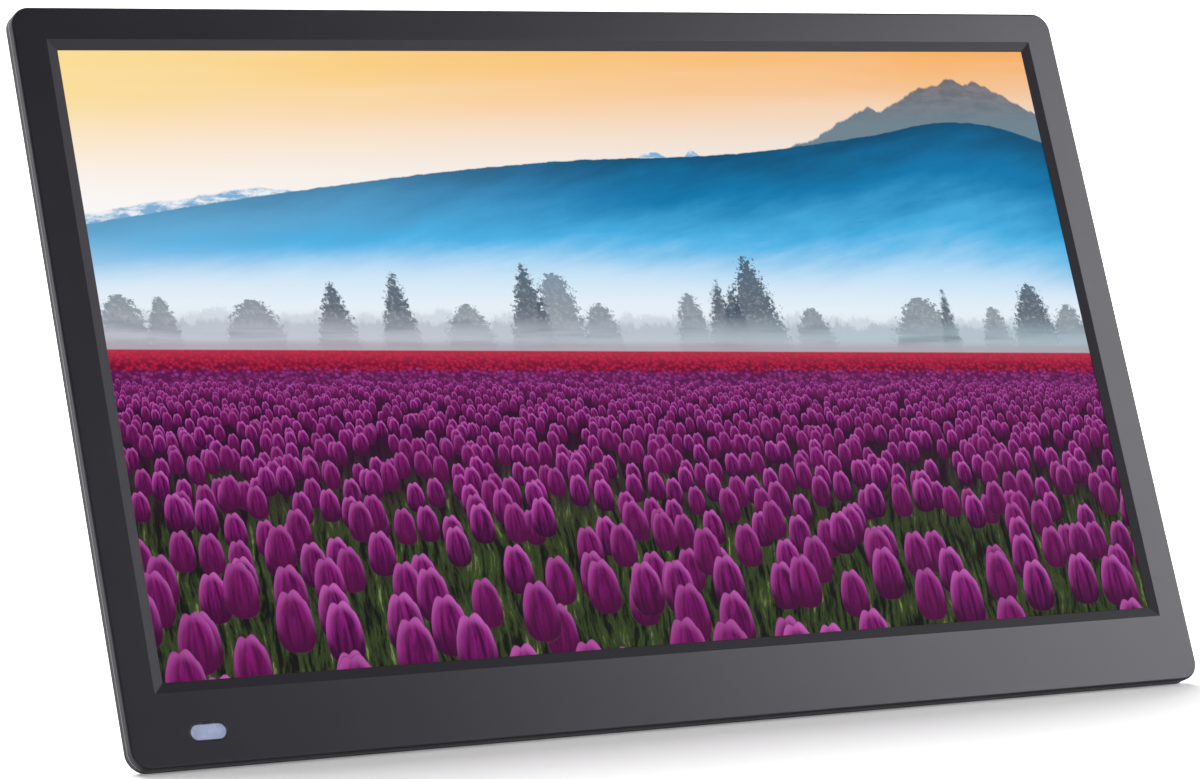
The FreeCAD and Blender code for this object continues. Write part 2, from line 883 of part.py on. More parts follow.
def board_chips():
    """Processor and the memory around it."""
    chips = [centred(chip_x, chip_up, chip_size, chip_size, board_back,
                     board_back + chip_thickness)]
    chips += [centred(x, u, memory_length, memory_height, board_back,
                      board_back + memory_thickness) for x, u in memory_places]
    return group(chips)


def heat_spreader():
    start = board_back + chip_thickness
    base = centred(chip_x, chip_up, spreader_size, spreader_size, start, start + spreader_base)
    pitch = (spreader_size - fin_thickness) / (fin_count - 1)
    fins = [centred(chip_x + pitch * (index - (fin_count - 1) / 2), chip_up, fin_thickness,
                    spreader_size, start + spreader_base, start + spreader_base + fin_height)
            for index in range(fin_count)]
    return joined([base] + fins)


def power_inductors():
    return group([centred(x, inductor_up, inductor_size, inductor_size, board_back,
                          board_back + inductor_thickness) for x in inductor_x])


def capacitors():
    return group([rod(x, u, capacitor_radius, board_back, board_back + capacitor_height)
                  for x, u in capacitor_places])


def coin_cell_holder():
    inner = coin_radius + holder_fit
    base = rod(coin_x, coin_up, inner + holder_wall, board_back, board_back + holder_height)
    return base.cut(rod(coin_x, coin_up, inner, board_back + coin_seat, far))


def coin_cell():
    front = board_back + coin_seat
    body = rod(coin_x, coin_up, coin_radius, front, front + coin_thickness)
    rim = [edge for edge in body.Edges if isinstance(edge.Curve, Part.Circle)]
    return body.makeFillet(coin_round, rim)


def header(x0, x1, u0, u1):
    """Plug-in connector on the display's side of the main board."""
    return block(x0, x1, board_front - header_height, board_front, u0, u1)


def board_connectors():
    left = ribbon_socket_left
    right = ribbon_socket_right
    high = board_high - ribbon_socket_rise
    ribbon_socket = block(left, right, board_back, board_back + ribbon_socket_thickness,
                          high - ribbon_socket_height, high)
    back = key_board_back - key_board_thickness
    high = key_up - ribbon_socket_rise
    key_socket = block(left, right, back - key_socket_thickness, back,
                       high - ribbon_socket_height, high)
    return group([header(board_left + 0.5, 52, 78, 86), header(board_left + 0.5, 52, 92, 98),
                  header(83, 101, 72, 77), header(104, 112, 74, 80), ribbon_socket, key_socket])


def box_socket(up, width, height, length, back_wall):
    """Open-mouthed rectangular metal shell that looks out to the right."""
    body = block(port_face - length, port_face, board_back, board_back + height,
                 up - width / 2, up + width / 2)
    steel = socket_shell
    return body.cut(block(port_face - length + back_wall, port_face, board_back + steel,
                          board_back + height - steel, up - width / 2 + steel,
                          up + width / 2 - steel))


def usb_socket_shell():
    return box_socket(usb_up, usb_width, usb_height, usb_length, socket_shell)


def usb_tongue_piece():
    back = port_face - usb_length + socket_shell
    half = usb_width / 2 - socket_shell
    roof = board_back + usb_height - socket_shell
    base = block(back, back + usb_base, board_back + socket_shell, roof, usb_up - half,
                 usb_up + half)
    start = roof - usb_tongue_roof - usb_tongue
    half -= usb_tongue_side
    tongue = block(back, port_face - usb_tongue_recess, start, start + usb_tongue,
                   usb_up - half, usb_up + half)
    return joined([base, tongue])


def shouldered(up, margin, x0, x1):
    """Bar with the two sloping lower shoulders of a video plug, smaller by a margin."""
    half = video_width / 2 - margin
    low = board_back + margin
    high = board_back + video_height - margin
    corners = ((low, up - half + video_shoulder), (low, up + half - video_shoulder),
               (low + video_shoulder, up + half), (high, up + half), (high, up - half),
               (low + video_shoulder, up - half))
    return across(corners, x0, x1)


def video_socket_shell():
    body = shouldered(video_up, 0, port_face - video_length, port_face)
    return body.cut(shouldered(video_up, socket_shell, port_face - video_length + socket_shell,
                               port_face))


def video_tongue_piece():
    back = port_face - video_length + socket_shell
    base = shouldered(video_up, socket_shell, back, back + video_base)
    middle = board_back + video_height / 2
    half = video_width / 2 - video_tongue_side
    tongue = block(back, port_face - video_tongue_recess, middle - video_tongue / 2,
                   middle + video_tongue / 2, video_up - half, video_up + half)
    return joined([base, tongue])


def socket_tongues():
    return group([usb_tongue_piece(), video_tongue_piece()])


def card_socket():
    end = wall_inside - card_gap
    body = block(end - card_length, end, board_back, board_back + card_height,
                 card_up - card_width / 2, card_up + card_width / 2)
    middle = board_back + card_height / 2
    return body.cut(block(end - card_length + card_back, end, middle - card_slot_height / 2,
                          middle + card_slot_height / 2, card_up - card_slot_width / 2,
                          card_up + card_slot_width / 2))


def earphone_jack():
    end = wall_inside - wall_clearance
    body = block(end - phone_length, end, board_back, board_back + phone_height,
                 phone_up - phone_width / 2, phone_up + phone_width / 2)
    nose = cross_rod(phone_middle(), phone_up, phone_nose_radius, end, port_face)
    bore = cross_rod(phone_middle(), phone_up, phone_bore, end - phone_length + phone_back,
                     port_face)
    return joined([body, nose]).cut(bore)


def dc_jack():
    end = wall_inside - wall_clearance
    body = block(end - jack_length, end, board_back, board_back + jack_height,
                 jack_up - jack_width / 2, jack_up + jack_width / 2)
    nose = cross_rod(jack_middle(), jack_up, jack_nose_radius, end, port_face)
    bore = cross_rod(jack_middle(), jack_up, jack_bore, end - jack_length + jack_back, port_face)
    return joined([body, nose]).cut(bore)


def dc_jack_pin():
    start = wall_inside - wall_clearance - jack_length + jack_back
    end = port_face - jack_pin_recess
    body = cross_rod(jack_middle(), jack_up, jack_pin, start, end)
    tip = [edge for edge in body.Edges if edge.BoundBox.XMin > end - tolerance]
    return body.makeFillet(jack_pin_round, tip)


def power_switch_body():
    end = wall_inside - wall_clearance
    body = block(end - switch_width, end, board_back, board_back + switch_height,
                 switch_up - switch_length / 2, switch_up + switch_length / 2)
    middle = board_back + switch_height / 2
    reach = (knob_length + knob_travel) / 2 + moving_gap
    half = knob_height / 2 + moving_gap
    return body.cut(block(end - switch_pocket, end, middle - half, middle + half, switch_up - reach,
                          switch_up + reach))


def power_switch_knob():
    """The knob rests at the lower, switched-on end of its travel."""
    middle = board_back + switch_height / 2
    up = switch_up - knob_travel / 2
    start = wall_inside - wall_clearance - switch_pocket + moving_gap
    return block(start, housing_half_width + knob_stick_out, middle - knob_height / 2,
                 middle + knob_height / 2, up - knob_length / 2, up + knob_length / 2)


# ---- keys ----

def key_board():
    front = key_board_back - key_board_thickness
    board = plate(key_centre_x - key_board_half, key_centre_x + key_board_half,
                  key_up - key_board_height / 2, key_up + key_board_height / 2, front,
                  key_board_back, board_corner)
    for x, u in key_screw_places:
        board = board.cut(screw_hole(x, u, 0, far))
    return board


def key_switches():
    switches = []
    for x in key_places:
        body = centred(x, key_up, tact_size, tact_size, key_board_back,
                       key_board_back + tact_height)
        plunger = rod(x, key_up, tact_plunger, key_board_back + tact_height, tact_top)
        switches.append(joined([body, plunger]))
    return group(switches)


def key_cap(x):
    flange = stadium(x, key_up, key_length + 2 * key_flange, key_height + 2 * key_flange,
                     key_stem_start, key_stem_start + key_flange_depth)
    end = housing_depth + key_stick_out
    cap = stadium(x, key_up, key_length, key_height, key_stem_start, end)
    return joined([flange, rounded_rim(cap, key_round, end)])


# ---- speakers ----

def basket_outline(x, u, margin):
    """Outline inside the speaker's edge by a margin, as (x0, x1, u0, u1, radius)."""
    half = speaker_width / 2 - margin
    tall = speaker_height / 2 - margin
    return (x - half, x + half, u - tall, u + tall, tall - basket_corner)


def basket_solid(x, u, margin, front):
    """Tub that narrows towards the magnet."""
    return tapered(basket_outline(x, u, margin + basket_draft) + (front,),
                   basket_outline(x, u, margin) + (speaker_flange_front,))


def speaker_baskets():
    baskets = []
    inner = basket_margin + basket_wall
    for x, u in speaker_centres:
        half = speaker_width / 2 + speaker_ear
        tall = speaker_height / 2
        flange = plate(x - half, x + half, u - tall, u + tall, speaker_flange_front,
                       speaker_flange_back, tall - flange_corner)
        x0, x1, u0, u1, radius = basket_outline(x, u, inner)
        hollow = joined([basket_solid(x, u, inner, basket_front + basket_wall),
                         plate(x0, x1, u0, u1, speaker_flange_front, speaker_flange_back,
                               radius)])
        basket = joined([flange, basket_solid(x, u, basket_margin, basket_front)]).cut(hollow)
        basket = basket.cut(rod(x, u, basket_vent, basket_front, speaker_flange_back))
        for side in (-1, 1):
            basket = basket.cut(screw_hole(x + side * (speaker_width + speaker_ear) / 2, u,
                                           0, far))
        baskets.append(basket)
    return group(baskets)


def speaker_magnets():
    return group([rod(x, u, magnet_radius, basket_front - magnet_depth, basket_front)
                  for x, u in speaker_centres])


def speaker_cones():
    """Shallow paper cones, drawn as a dish less the same dish moved up by its thickness."""
    cones = []
    for x, u in speaker_centres:
        dishes = []
        for back in (speaker_flange_back - cone_thickness, speaker_flange_back):
            middle = (x - cone_middle_half, x + cone_middle_half, u - cone_middle_height,
                      u + cone_middle_height, cone_middle_radius, back - cone_sink)
            dishes.append(tapered(middle, basket_outline(x, u, cone_margin) + (back,)))
        cones.append(dishes[0].cut(dishes[1]))
    return group(cones)


def speaker_gaskets():
    gaskets = []
    for x, u in speaker_centres:
        ring = stadium(x, u, speaker_width, speaker_height - 2 * gasket_inset,
                       speaker_flange_back, floor_inside)
        ring = ring.cut(stadium(x, u, speaker_width - 2 * gasket_width,
                                speaker_height - 2 * gasket_width, speaker_flange_back,
                                floor_inside))
        for side in (-1, 1):
            ring = ring.cut(rod(x + side * (speaker_width + speaker_ear) / 2, u,
                                screw_head + gasket_inset, 0, far))
        gaskets.append(ring)
    return group(gaskets)


def inner_screws():
    """Screws of the display clips, the boards and the speakers."""
    key_board_front = key_board_back - key_board_thickness
    rows = ((clip_places, module_back + clip_thickness, bezel_plate + screw_tip),
            (board_screw_places, board_front, board_back + board_screw_reach),
            (key_screw_places, key_board_front, key_board_back + key_screw_reach),
            (speaker_screw_places, speaker_flange_front, floor_inside + screw_tip))
    return group([screw(x, u, seat, tip) for places, seat, tip in rows for x, u in places])


# ---- wiring ----

def display_cable():
    top = board_front - 2.4
    driver = module_back + driver_thickness
    route = ((driver, module_low + 12), (driver + 2.2, module_low + 20), (9.5, 60),
             (top - ribbon_thickness, 72), (top - ribbon_thickness, 77))
    return ribbon(route, 85, 99)


def key_ribbon():
    low = board_back + 0.8
    high = key_board_back - key_board_thickness - 1
    return ribbon(((low, board_high - 1), (low, board_high), (high, key_up - 6),
                   (high, key_up - 5)), 57, 71)


def backlight_cable():
    side = module_half - 12
    return wire(((side, module_back + 1.2, module_low + 6), (side, module_back + 1.2,
                module_low + 26), (108, 11, 58), (108, board_front - 1.4, 66),
                (108, board_front - 1.4, 74)), wire_radius)


def speaker_wires():
    d = board_front - 2
    left = ((-70, d, speaker_up + 15), (-60, d, speaker_up + 22), (32, d, speaker_up + 22),
            (36, d, 82), (board_left + 0.5, d, 82))
    right = ((76, d, speaker_up + 10), (62, d, speaker_up + 12), (48, d, speaker_up + 18),
             (48, d, 78))
    return group([wire(left, wire_radius), wire(right, wire_radius)])


def sensor_wire():
    start = sensor_board_front + sensor_board_depth + wire_radius
    d = board_front - 1.5
    return wire(((window_x, start, window_up), (window_x + 16, start + 1, 22),
                 (window_x + 30, 8.2, 36), (24, 8.2, 36), (24, 10, 88),
                 (36, d, 95), (board_left + 0.5, d, 95)), wire_radius * 0.8)


# ---- stand ----
# The leg is drawn folded flat, hanging from the hinge, and is then swung open.

def swung_open(shape):
    hinge = Vector(0, hinge_depth, hinge_up)
    return shape.rotate(hinge, Vector(1, 0, 0), leg_opening)


def below_ground():
    """Everything under the surface that the leaned-back frame stands on."""
    ground = block(-far, far, -far, far, -far, 0)
    return ground.rotate(Vector(0, rim_depth, 0), Vector(1, 0, 0), lean_angle)


def stand_leg():
    front = hinge_depth - leg_thickness / 2
    back = hinge_depth + leg_thickness / 2
    low = hinge_up - leg_length + foot_pad_length
    top = hinge_up
    outer = ((-leg_foot_half, low), (leg_foot_half, low), (leg_top_half, top),
             (-leg_top_half, top))
    body = rounded_rim(leg_slab(outer, front, back), leg_round, back)
    body = body.fuse(cross_rod(hinge_depth, hinge_up, leg_thickness / 2, -leg_top_half,
                               leg_top_half))
    rib = leg_rib
    reach = top - 2 * rib - pin_radius
    pocket = ((rib - leg_foot_half, low + rib), (leg_foot_half - rib, low + rib),
              (leg_top_half - rib, reach), (rib - leg_top_half, reach))
    hollow = leg_slab(pocket, front, back - leg_skin)
    middle = low + (reach - low) * leg_rib_share
    hollow = hollow.cut(block(-far, far, 0, far, middle - rib / 2, middle + rib / 2))
    hollow = hollow.cut(block(-rib / 2, rib / 2, 0, far, low, top))
    frame_low = low + leg_window_up
    hollow = hollow.cut(centred(0, frame_low + leg_window_height / 2,
                                2 * (leg_window_half + rib), leg_window_height + 2 * rib,
                                0, far))
    body = body.cut(hollow)
    body = body.cut(plate(-leg_window_half, leg_window_half, frame_low,
                          frame_low + leg_window_height, 0, far, leg_window_corner))
    body = body.cut(cross_rod(hinge_depth, hinge_up, pin_radius + pin_fit, -far, far))
    return swung_open(body.removeSplitter())


def leg_slab(corners, d0, d1):
    points = [Vector(x, d0, u) for x, u in corners]
    return Part.Face(Part.makePolygon(points + points[:1])).extrude(Vector(0, d1 - d0, 0))


def stand_foot_pad():
    high = hinge_up - leg_length + foot_pad_length
    half = foot_pad_thickness / 2
    pad = plate(-leg_foot_half, leg_foot_half, high - 2 * foot_pad_length, high,
                hinge_depth - half, hinge_depth + half)
    return swung_open(pad).cut(below_ground())


def stand_bracket():
    """Folded steel hinge plate with two ears."""
    half = pin_half
    base = block(-half, half, recess_floor, recess_floor + bracket_steel,
                 hinge_up - ear_radius, hinge_up + bracket_above)
    pieces = [base]
    for side in (-1, 1):
        low, high = sorted((side * half, side * (half - ear_thickness)))
        pieces.append(block(low, high, recess_floor, hinge_depth, hinge_up - ear_radius,
                            hinge_up + ear_radius))
        pieces.append(cross_rod(hinge_depth, hinge_up, ear_radius, low, high))
    body = joined(pieces)
    body = body.cut(cross_rod(hinge_depth, hinge_up, pin_radius + pin_fit / 2, -far, far))
    for x, u in bracket_screw_places:
        body = body.cut(screw_hole(x, u, 0, far))
    return body


def stand_screws():
    seat = recess_floor + bracket_steel
    return group([screw(x, u, seat, bracket_post_front + bracket_screw_floor)
                  for x, u in bracket_screw_places])


def stand_pin():
    half = pin_half + pin_end
    shaft = cross_rod(hinge_depth, hinge_up, pin_radius, -half, half)
    start = pin_half + pin_head_gap
    heads = [cross_rod(hinge_depth, hinge_up, pin_head_radius, start, start + pin_head),
             cross_rod(hinge_depth, hinge_up, pin_head_radius, -start - pin_head, -start)]
    return joined([shaft] + heads)


def stand_washers():
    washers = []
    for side in (-1, 1):
        inner = leg_top_half + moving_gap
        low, high = sorted((side * inner, side * (inner + washer_thickness)))
        ring = cross_rod(hinge_depth, hinge_up, washer_radius, low, high)
        ring = ring.cut(cross_rod(hinge_depth, hinge_up, pin_radius + pin_fit / 2, low, high))
        washers.append(ring)
    return group(washers)


# ---- writing the pieces ----

builders = (front_bezel, sensor_window, sensor_board, light_sensor,
            lcd_front_frame, lcd_panel, lcd_mould_frame, optical_films, light_guide,
            backlight_led_bar, reflector_sheet, lcd_rear_tray, panel_driver_board, panel_clips,
            back_cover, rating_label, cover_screws, wall_mount_strips,
            main_board, board_chips, heat_spreader, power_inductors, capacitors,
            coin_cell_holder, coin_cell, board_connectors, inner_screws,
            usb_socket_shell, video_socket_shell, socket_tongues, card_socket, earphone_jack,
            dc_jack, dc_jack_pin, power_switch_body, power_switch_knob, key_board,
            key_switches, speaker_baskets, speaker_magnets, speaker_cones, speaker_gaskets,
            display_cable, key_ribbon, backlight_cable, speaker_wires, sensor_wire,
            stand_leg, stand_foot_pad, stand_bracket, stand_screws, stand_pin, stand_washers)

pieces = {builder.__name__: builder() for builder in builders}
for key_name, key_x in zip(key_names, key_places):
    pieces["key_" + key_name] = key_cap(key_x)

# The frame leans back about the bottom edge, then the whole stands with the middle of its
# footprint at the origin.
for piece in pieces.values():
    piece.rotate(Vector(0, 0, 0), Vector(1, 0, 0), -lean_angle)
extent = Part.makeCompound(list(pieces.values())).optimalBoundingBox(True, False)
shift = Vector(-(extent.XMin + extent.XMax) / 2, -(extent.YMin + extent.YMax) / 2, -extent.ZMin)

os.makedirs("parts", exist_ok=True)
for name, piece in pieces.items():
    piece.translate(shift)
    piece.exportStep("parts/" + name + ".step")
    print(name, round(piece.Volume, 1), piece.isValid(), len(piece.Solids))
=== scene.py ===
import json
import math

import bmesh
import bpy
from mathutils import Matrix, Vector


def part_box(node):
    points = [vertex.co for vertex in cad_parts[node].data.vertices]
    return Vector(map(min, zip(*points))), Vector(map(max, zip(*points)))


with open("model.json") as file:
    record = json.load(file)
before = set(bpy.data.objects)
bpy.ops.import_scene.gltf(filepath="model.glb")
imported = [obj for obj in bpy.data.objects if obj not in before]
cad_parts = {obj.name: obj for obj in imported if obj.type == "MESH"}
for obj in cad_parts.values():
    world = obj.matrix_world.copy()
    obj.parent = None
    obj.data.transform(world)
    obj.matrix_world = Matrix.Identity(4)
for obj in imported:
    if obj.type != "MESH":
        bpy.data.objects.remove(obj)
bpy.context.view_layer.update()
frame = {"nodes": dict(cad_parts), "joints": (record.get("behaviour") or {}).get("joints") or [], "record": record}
nodes = frame["nodes"]

# ---- the frame's own directions: the face leans back ----
up_the_face = next(joint["axis"] for joint in frame["joints"]
                   if joint["name"] == "power_switch_slide")
UP = Vector(up_the_face).normalized()
RIGHT = Vector((1, 0, 0))
BACK = UP.cross(RIGHT)

# ---- the visible picture, in metres ----
PICTURE_WIDTH = 0.3442
PICTURE_HEIGHT = 0.1926
CHIN = 0.0247
RIM_HIGHLIGHT_DEPTH = 0.0030             # depth of the painted highlight line round the side of the rim
GLASS_MIDDLE = 0.0019         # depth of the middle of the display glass behind the face


def middle_of(node):
    low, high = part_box(node)
    return (Vector(low) + Vector(high)) / 2


# Middle of the bottom edge of the face, where the face coordinates start.
PICTURE_MIDDLE = middle_of("lcd_panel") - BACK * GLASS_MIDDLE
ORIGIN = PICTURE_MIDDLE - UP * (CHIN + PICTURE_HEIGHT / 2)


# ---- camera ----
CAMERA_AZIMUTH = math.radians(-29.49)
CAMERA_ELEVATION = math.radians(4.33)
CAMERA_DISTANCE = 1.3227
AIM_LEFT = 0.00878
AIM_BELOW = 0.01507
LENS_MM = 129.1
SENSOR_MM = 36
NEAREST = 0.05                # nearest distance that is drawn


def add_camera():
    data = bpy.data.cameras.new("camera")
    data.lens = LENS_MM
    data.sensor_width = SENSOR_MM
    data.clip_start = NEAREST
    camera = bpy.data.objects.new("camera", data)
    backwards = Vector((math.sin(CAMERA_AZIMUTH) * math.cos(CAMERA_ELEVATION),
                        -math.cos(CAMERA_AZIMUTH) * math.cos(CAMERA_ELEVATION),
                        math.sin(CAMERA_ELEVATION)))
    turn = backwards.to_track_quat("Z", "Y")
    side = turn @ Vector((1, 0, 0))
    top = turn @ Vector((0, 1, 0))
    aim = PICTURE_MIDDLE - side * AIM_LEFT - top * AIM_BELOW
    camera.location = aim + backwards * CAMERA_DISTANCE
    camera.rotation_euler = turn.to_euler()
    bpy.context.scene.collection.objects.link(camera)
    bpy.context.scene.camera = camera


add_camera()


# ---- node building ----

NOISE_LOW = 0.3               # noise seldom leaves this range
NOISE_HIGH = 0.7
BEVEL_SAMPLES = 4
EDGE_STARTS = 0.995           # cosine of the angle between the bevelled and the flat normal
EDGE_FULL = 0.9
MIX_COLOURS = (6, 7)          # input sockets of a mix node for each kind of data
MIX_VECTORS = (4, 5)
MIX_VALUES = (2, 3)


class Shading:
    """Short calls that add nodes to one material and return their output sockets."""

    def __init__(self, name):
        self.material = bpy.data.materials.new(name)
        self.material.use_nodes = True
        self.tree = self.material.node_tree
        self.shader = self.tree.nodes["Principled BSDF"]

    def feed(self, socket, value):
        if isinstance(value, bpy.types.NodeSocket):
            self.tree.links.new(value, socket)
        elif socket.type == "RGBA":
            socket.default_value = (*value, 1)
        else:
            socket.default_value = value

    def node(self, kind, **settings):
        made = self.tree.nodes.new(kind)
        for name, value in settings.items():
            setattr(made, name, value)
        return made

    def math(self, operation, *values, clamp=False):
        made = self.node("ShaderNodeMath", operation=operation, use_clamp=clamp)
        for socket, value in zip(made.inputs, values):
            self.feed(socket, value)
        return made.outputs[0]

    def vector(self, operation, *values, out=0):
        made = self.node("ShaderNodeVectorMath", operation=operation)
        for socket, value in zip(made.inputs, values):
            self.feed(socket, value)
        return made.outputs[out]

    def xyz(self, x, y, z=0.0):
        made = self.node("ShaderNodeCombineXYZ")
        for socket, value in zip(made.inputs, (x, y, z)):
            self.feed(socket, value)
        return made.outputs[0]

    def split(self, vector):
        made = self.node("ShaderNodeSeparateXYZ")
        self.feed(made.inputs[0], vector)
        return made.outputs

    def ramp(self, value, low, high, start=0.0, end=1.0, smooth=True):
        """value mapped from low..high to start..end, and held outside."""
        made = self.node("ShaderNodeMapRange",
                         interpolation_type="SMOOTHSTEP" if smooth else "LINEAR")
        for socket, number in zip(made.inputs, (value, low, high, start, end)):
            self.feed(socket, number)
        return made.outputs[0]

    def mixed(self, kind, sockets, out, factor, first, second):
        made = self.node("ShaderNodeMix", data_type=kind)
        self.feed(made.inputs[0], factor)
        for socket, value in zip(sockets, (first, second)):
            self.feed(made.inputs[socket], value)
        return made.outputs[out]

    def mix(self, factor, first, second):
        return self.mixed("RGBA", MIX_COLOURS, 2, factor, first, second)

    def blend_vector(self, factor, first, second):
        return self.mixed("VECTOR", MIX_VECTORS, 1, factor, first, second)

    def blend_value(self, factor, first, second):
        return self.mixed("FLOAT", MIX_VALUES, 0, factor, first, second)

    def noise(self, place, scale, detail=2.0, roughness=0.5, out=0):
        made = self.node("ShaderNodeTexNoise")
        self.feed(made.inputs["Vector"], place)
        made.inputs["Scale"].default_value = scale
        made.inputs["Detail"].default_value = detail
        made.inputs["Roughness"].default_value = roughness
        return made.outputs[out]

    def swing(self, noise, start=0.0, end=1.0):
        """The middle of a noise's range spread over start..end."""
        return self.ramp(noise, NOISE_LOW, NOISE_HIGH, start, end)

    def place(self):
        """Position on the frame as it stands at rest, in metres."""
        return self.node("ShaderNodeTexCoord").outputs["Object"]

    def curve(self, value, points):
        """Smooth line through (x, y) points."""
        made = self.node("ShaderNodeFloatCurve")
        line = made.mapping.curves[0]
        line.points[0].location = points[0]
        line.points[1].location = points[-1]
        for point in points[1:-1]:
            line.points.new(*point)
        made.mapping.update()
        self.feed(made.inputs["Value"], value)
        return made.outputs[0]

    def bump(self, height, distance, strength=1.0, normal=None):
        made = self.node("ShaderNodeBump")
        made.inputs["Strength"].default_value = strength
        made.inputs["Distance"].default_value = distance
        self.feed(made.inputs["Height"], height)
        if normal is not None:
            self.feed(made.inputs["Normal"], normal)
        return made.outputs[0]

    def rounded(self, radius):
        """Normal with softened edges, and a mask of those edges."""
        made = self.node("ShaderNodeBevel", samples=BEVEL_SAMPLES)
        made.inputs["Radius"].default_value = radius
        flat = self.node("ShaderNodeNewGeometry").outputs["Normal"]
        alike = self.vector("DOT_PRODUCT", made.outputs[0], flat, out=1)
        return made.outputs[0], self.ramp(alike, EDGE_STARTS, EDGE_FULL)

    def put(self, **sockets):
        for name, value in sockets.items():
            self.feed(self.shader.inputs[name.replace("_", " ")], value)


def scaled(colour, factor, lift=0.0):
    """A paler or darker colour, never past white."""
    return tuple(min(part * factor + lift, 1) for part in colour)


def srgb(red, green, blue):
    """Linear colour from the eight-bit values of a display."""
    values = []
    for part in (red, green, blue):
        share = part / 255
        if share <= 0.04045:
            values.append(share / 12.92)
        else:
            values.append(((share + 0.055) / 1.055) ** 2.4)
    return tuple(values)


def face_coordinates(shading):
    """Right and up the face, in metres, from the middle of the bottom edge."""
    moved = shading.vector("SUBTRACT", shading.place(), tuple(ORIGIN))
    across = shading.split(moved)[0]
    up = shading.vector("DOT_PRODUCT", moved, tuple(UP), out=1)
    return across, up


# ---- the picture on the display ----
# A made-up landscape: a sunrise sky, far peaks, a blue ridge, misty trees and rows of tulips.
# It is drawn in s across and t up the picture, each 0 to 1, with its horizon running slightly
# downhill to the right, and all of it is arithmetic in nodes.

HORIZON = 0.519
HORIZON_FALL = 0.068
RIDGE = ((0.0, 0.715), (0.2, 0.763), (0.45, 0.805), (0.66, 0.817), (0.8, 0.844),
         (0.91, 0.868), (1.0, 0.83))
TULIP_ROWS = 23
ROW_GROWTH = 1.107
FIRST_ROW = 0.055             # distance below the horizon
BUD_SHARE = 0.225             # bud height as a share of the distance below the horizon
BLUNT = 2.5                   # power of the rounded outline of a bud
BUD_SLIM = 2.04               # how much slimmer a bud is than its cell
BUD_SHORT = 1.9
BUD_SPACING = 0.7             # cell width in bud heights, in the far rows
NEAR_SPACING = 0.02           # added for each row past the far ones
FAR_ROWS = 10
ROW_SHIFT = 17.37             # gives each row its own random cells
SIDE_DRIFT = 0.26             # how far a bud strays from the middle of its cell
CLIMB = 1.1                   # how far it strays up or down, in bud heights
PETALS = 4.4                  # waves across the top of a bud
PETAL_DEPTH = 0.16
BUD_SHARPNESS = 7             # of the outline
BUD_SOLID = 0.4               # mask value from which a bud hides what is behind
BARE_CELLS = 0.05             # share of cells with no bud, and what each nearer row adds
BARE_CELLS_NEARER = 0.011
OUTLINE = 260                 # sharpness of far peaks and trees
CRISP = 500                   # sharpness of the ridge and of the horizon

# (middle, half width, top) across and up the picture
GREY_PEAKS = ((0.905, 0.19, 0.95), (0.935, 0.13, 0.95), (0.81, 0.1, 0.9), (1.02, 0.08, 0.9))
GREY_FOOT = 0.82
SNOWY_PEAKS = ((0.168, 0.13, 0.773), (0.565, 0.03, 0.828), (0.607, 0.02, 0.828),
               (0.39, 0.03, 0.8))
SNOWY_HEIGHT = 0.03

# (middle, half width at the foot, top, power of the taper)
CONIFERS = ((0.217, 0.022, 0.634, 0.7), (0.278, 0.021, 0.654, 0.75), (0.408, 0.024, 0.668, 0.65),
            (0.604, 0.018, 0.645, 0.7), (0.640, 0.034, 0.686, 0.65), (0.945, 0.028, 0.645, 0.5),
            (0.848, 0.012, 0.636, 0.7), (0.618, 0.018, 0.634, 0.7))
BROAD_TREES = ((0.018, 0.028, 0.606, 0.4), (0.055, 0.018, 0.604, 0.45), (0.437, 0.028, 0.65, 0.35),
               (0.572, 0.020, 0.618, 0.4), (0.478, 0.022, 0.6, 0.4), (0.345, 0.026, 0.596, 0.45),
               (0.82, 0.036, 0.615, 0.4), (0.985, 0.024, 0.606, 0.45), (0.14, 0.03, 0.6, 0.4),
               (0.70, 0.022, 0.595, 0.4), (0.9, 0.018, 0.6, 0.4))
TREE_FOOT = HORIZON + 0.02

# (seed, height, roughness of its top, strength, colour) of the hedges behind the trees
HEDGES = ((3.0, 0.10, 24, 0.4, srgb(176, 186, 200)), (7.0, 0.075, 46, 0.5, srgb(140, 152, 168)))

# each pair is the colour at the left and at the right of the picture
SKY_TOP = (srgb(254, 224, 150), srgb(251, 168, 76))
SKY_MIDDLE = (srgb(255, 234, 206), srgb(249, 188, 126))
SKY_LOW = (srgb(254, 251, 250), srgb(240, 222, 205))
SKY_HAZE = srgb(255, 244, 228)
RIDGE_TOP = (srgb(96, 160, 202), srgb(2, 78, 116))
RIDGE_SLOPE = (srgb(104, 178, 222), srgb(4, 122, 176))
RIDGE_LOW = srgb(76, 180, 232)
RIDGE_FOOT = srgb(178, 222, 250)
MIST = srgb(236, 244, 251)
VEIL = (srgb(205, 206, 216), srgb(182, 200, 210))
FIELD_EDGE = srgb(176, 166, 176)


def sky(s, across, up):
    right = s.ramp(across, 0, 1, smooth=False)
    top = s.mix(right, *SKY_TOP)
    middle = s.mix(right, *SKY_MIDDLE)
    low = s.mix(right, *SKY_LOW)
    level = s.math("MULTIPLY_ADD", across, -0.1, up)
    colour = s.mix(s.ramp(level, 0.74, 0.88), low, middle)
    colour = s.mix(s.ramp(level, 0.82, 0.96), colour, top)
    haze = s.noise(s.xyz(s.math("MULTIPLY", across, 1.5), s.math("MULTIPLY", up, 9)), 2, 3)
    return s.mix(s.ramp(haze, 0.35, 0.75, 0, 0.14), colour, SKY_HAZE)


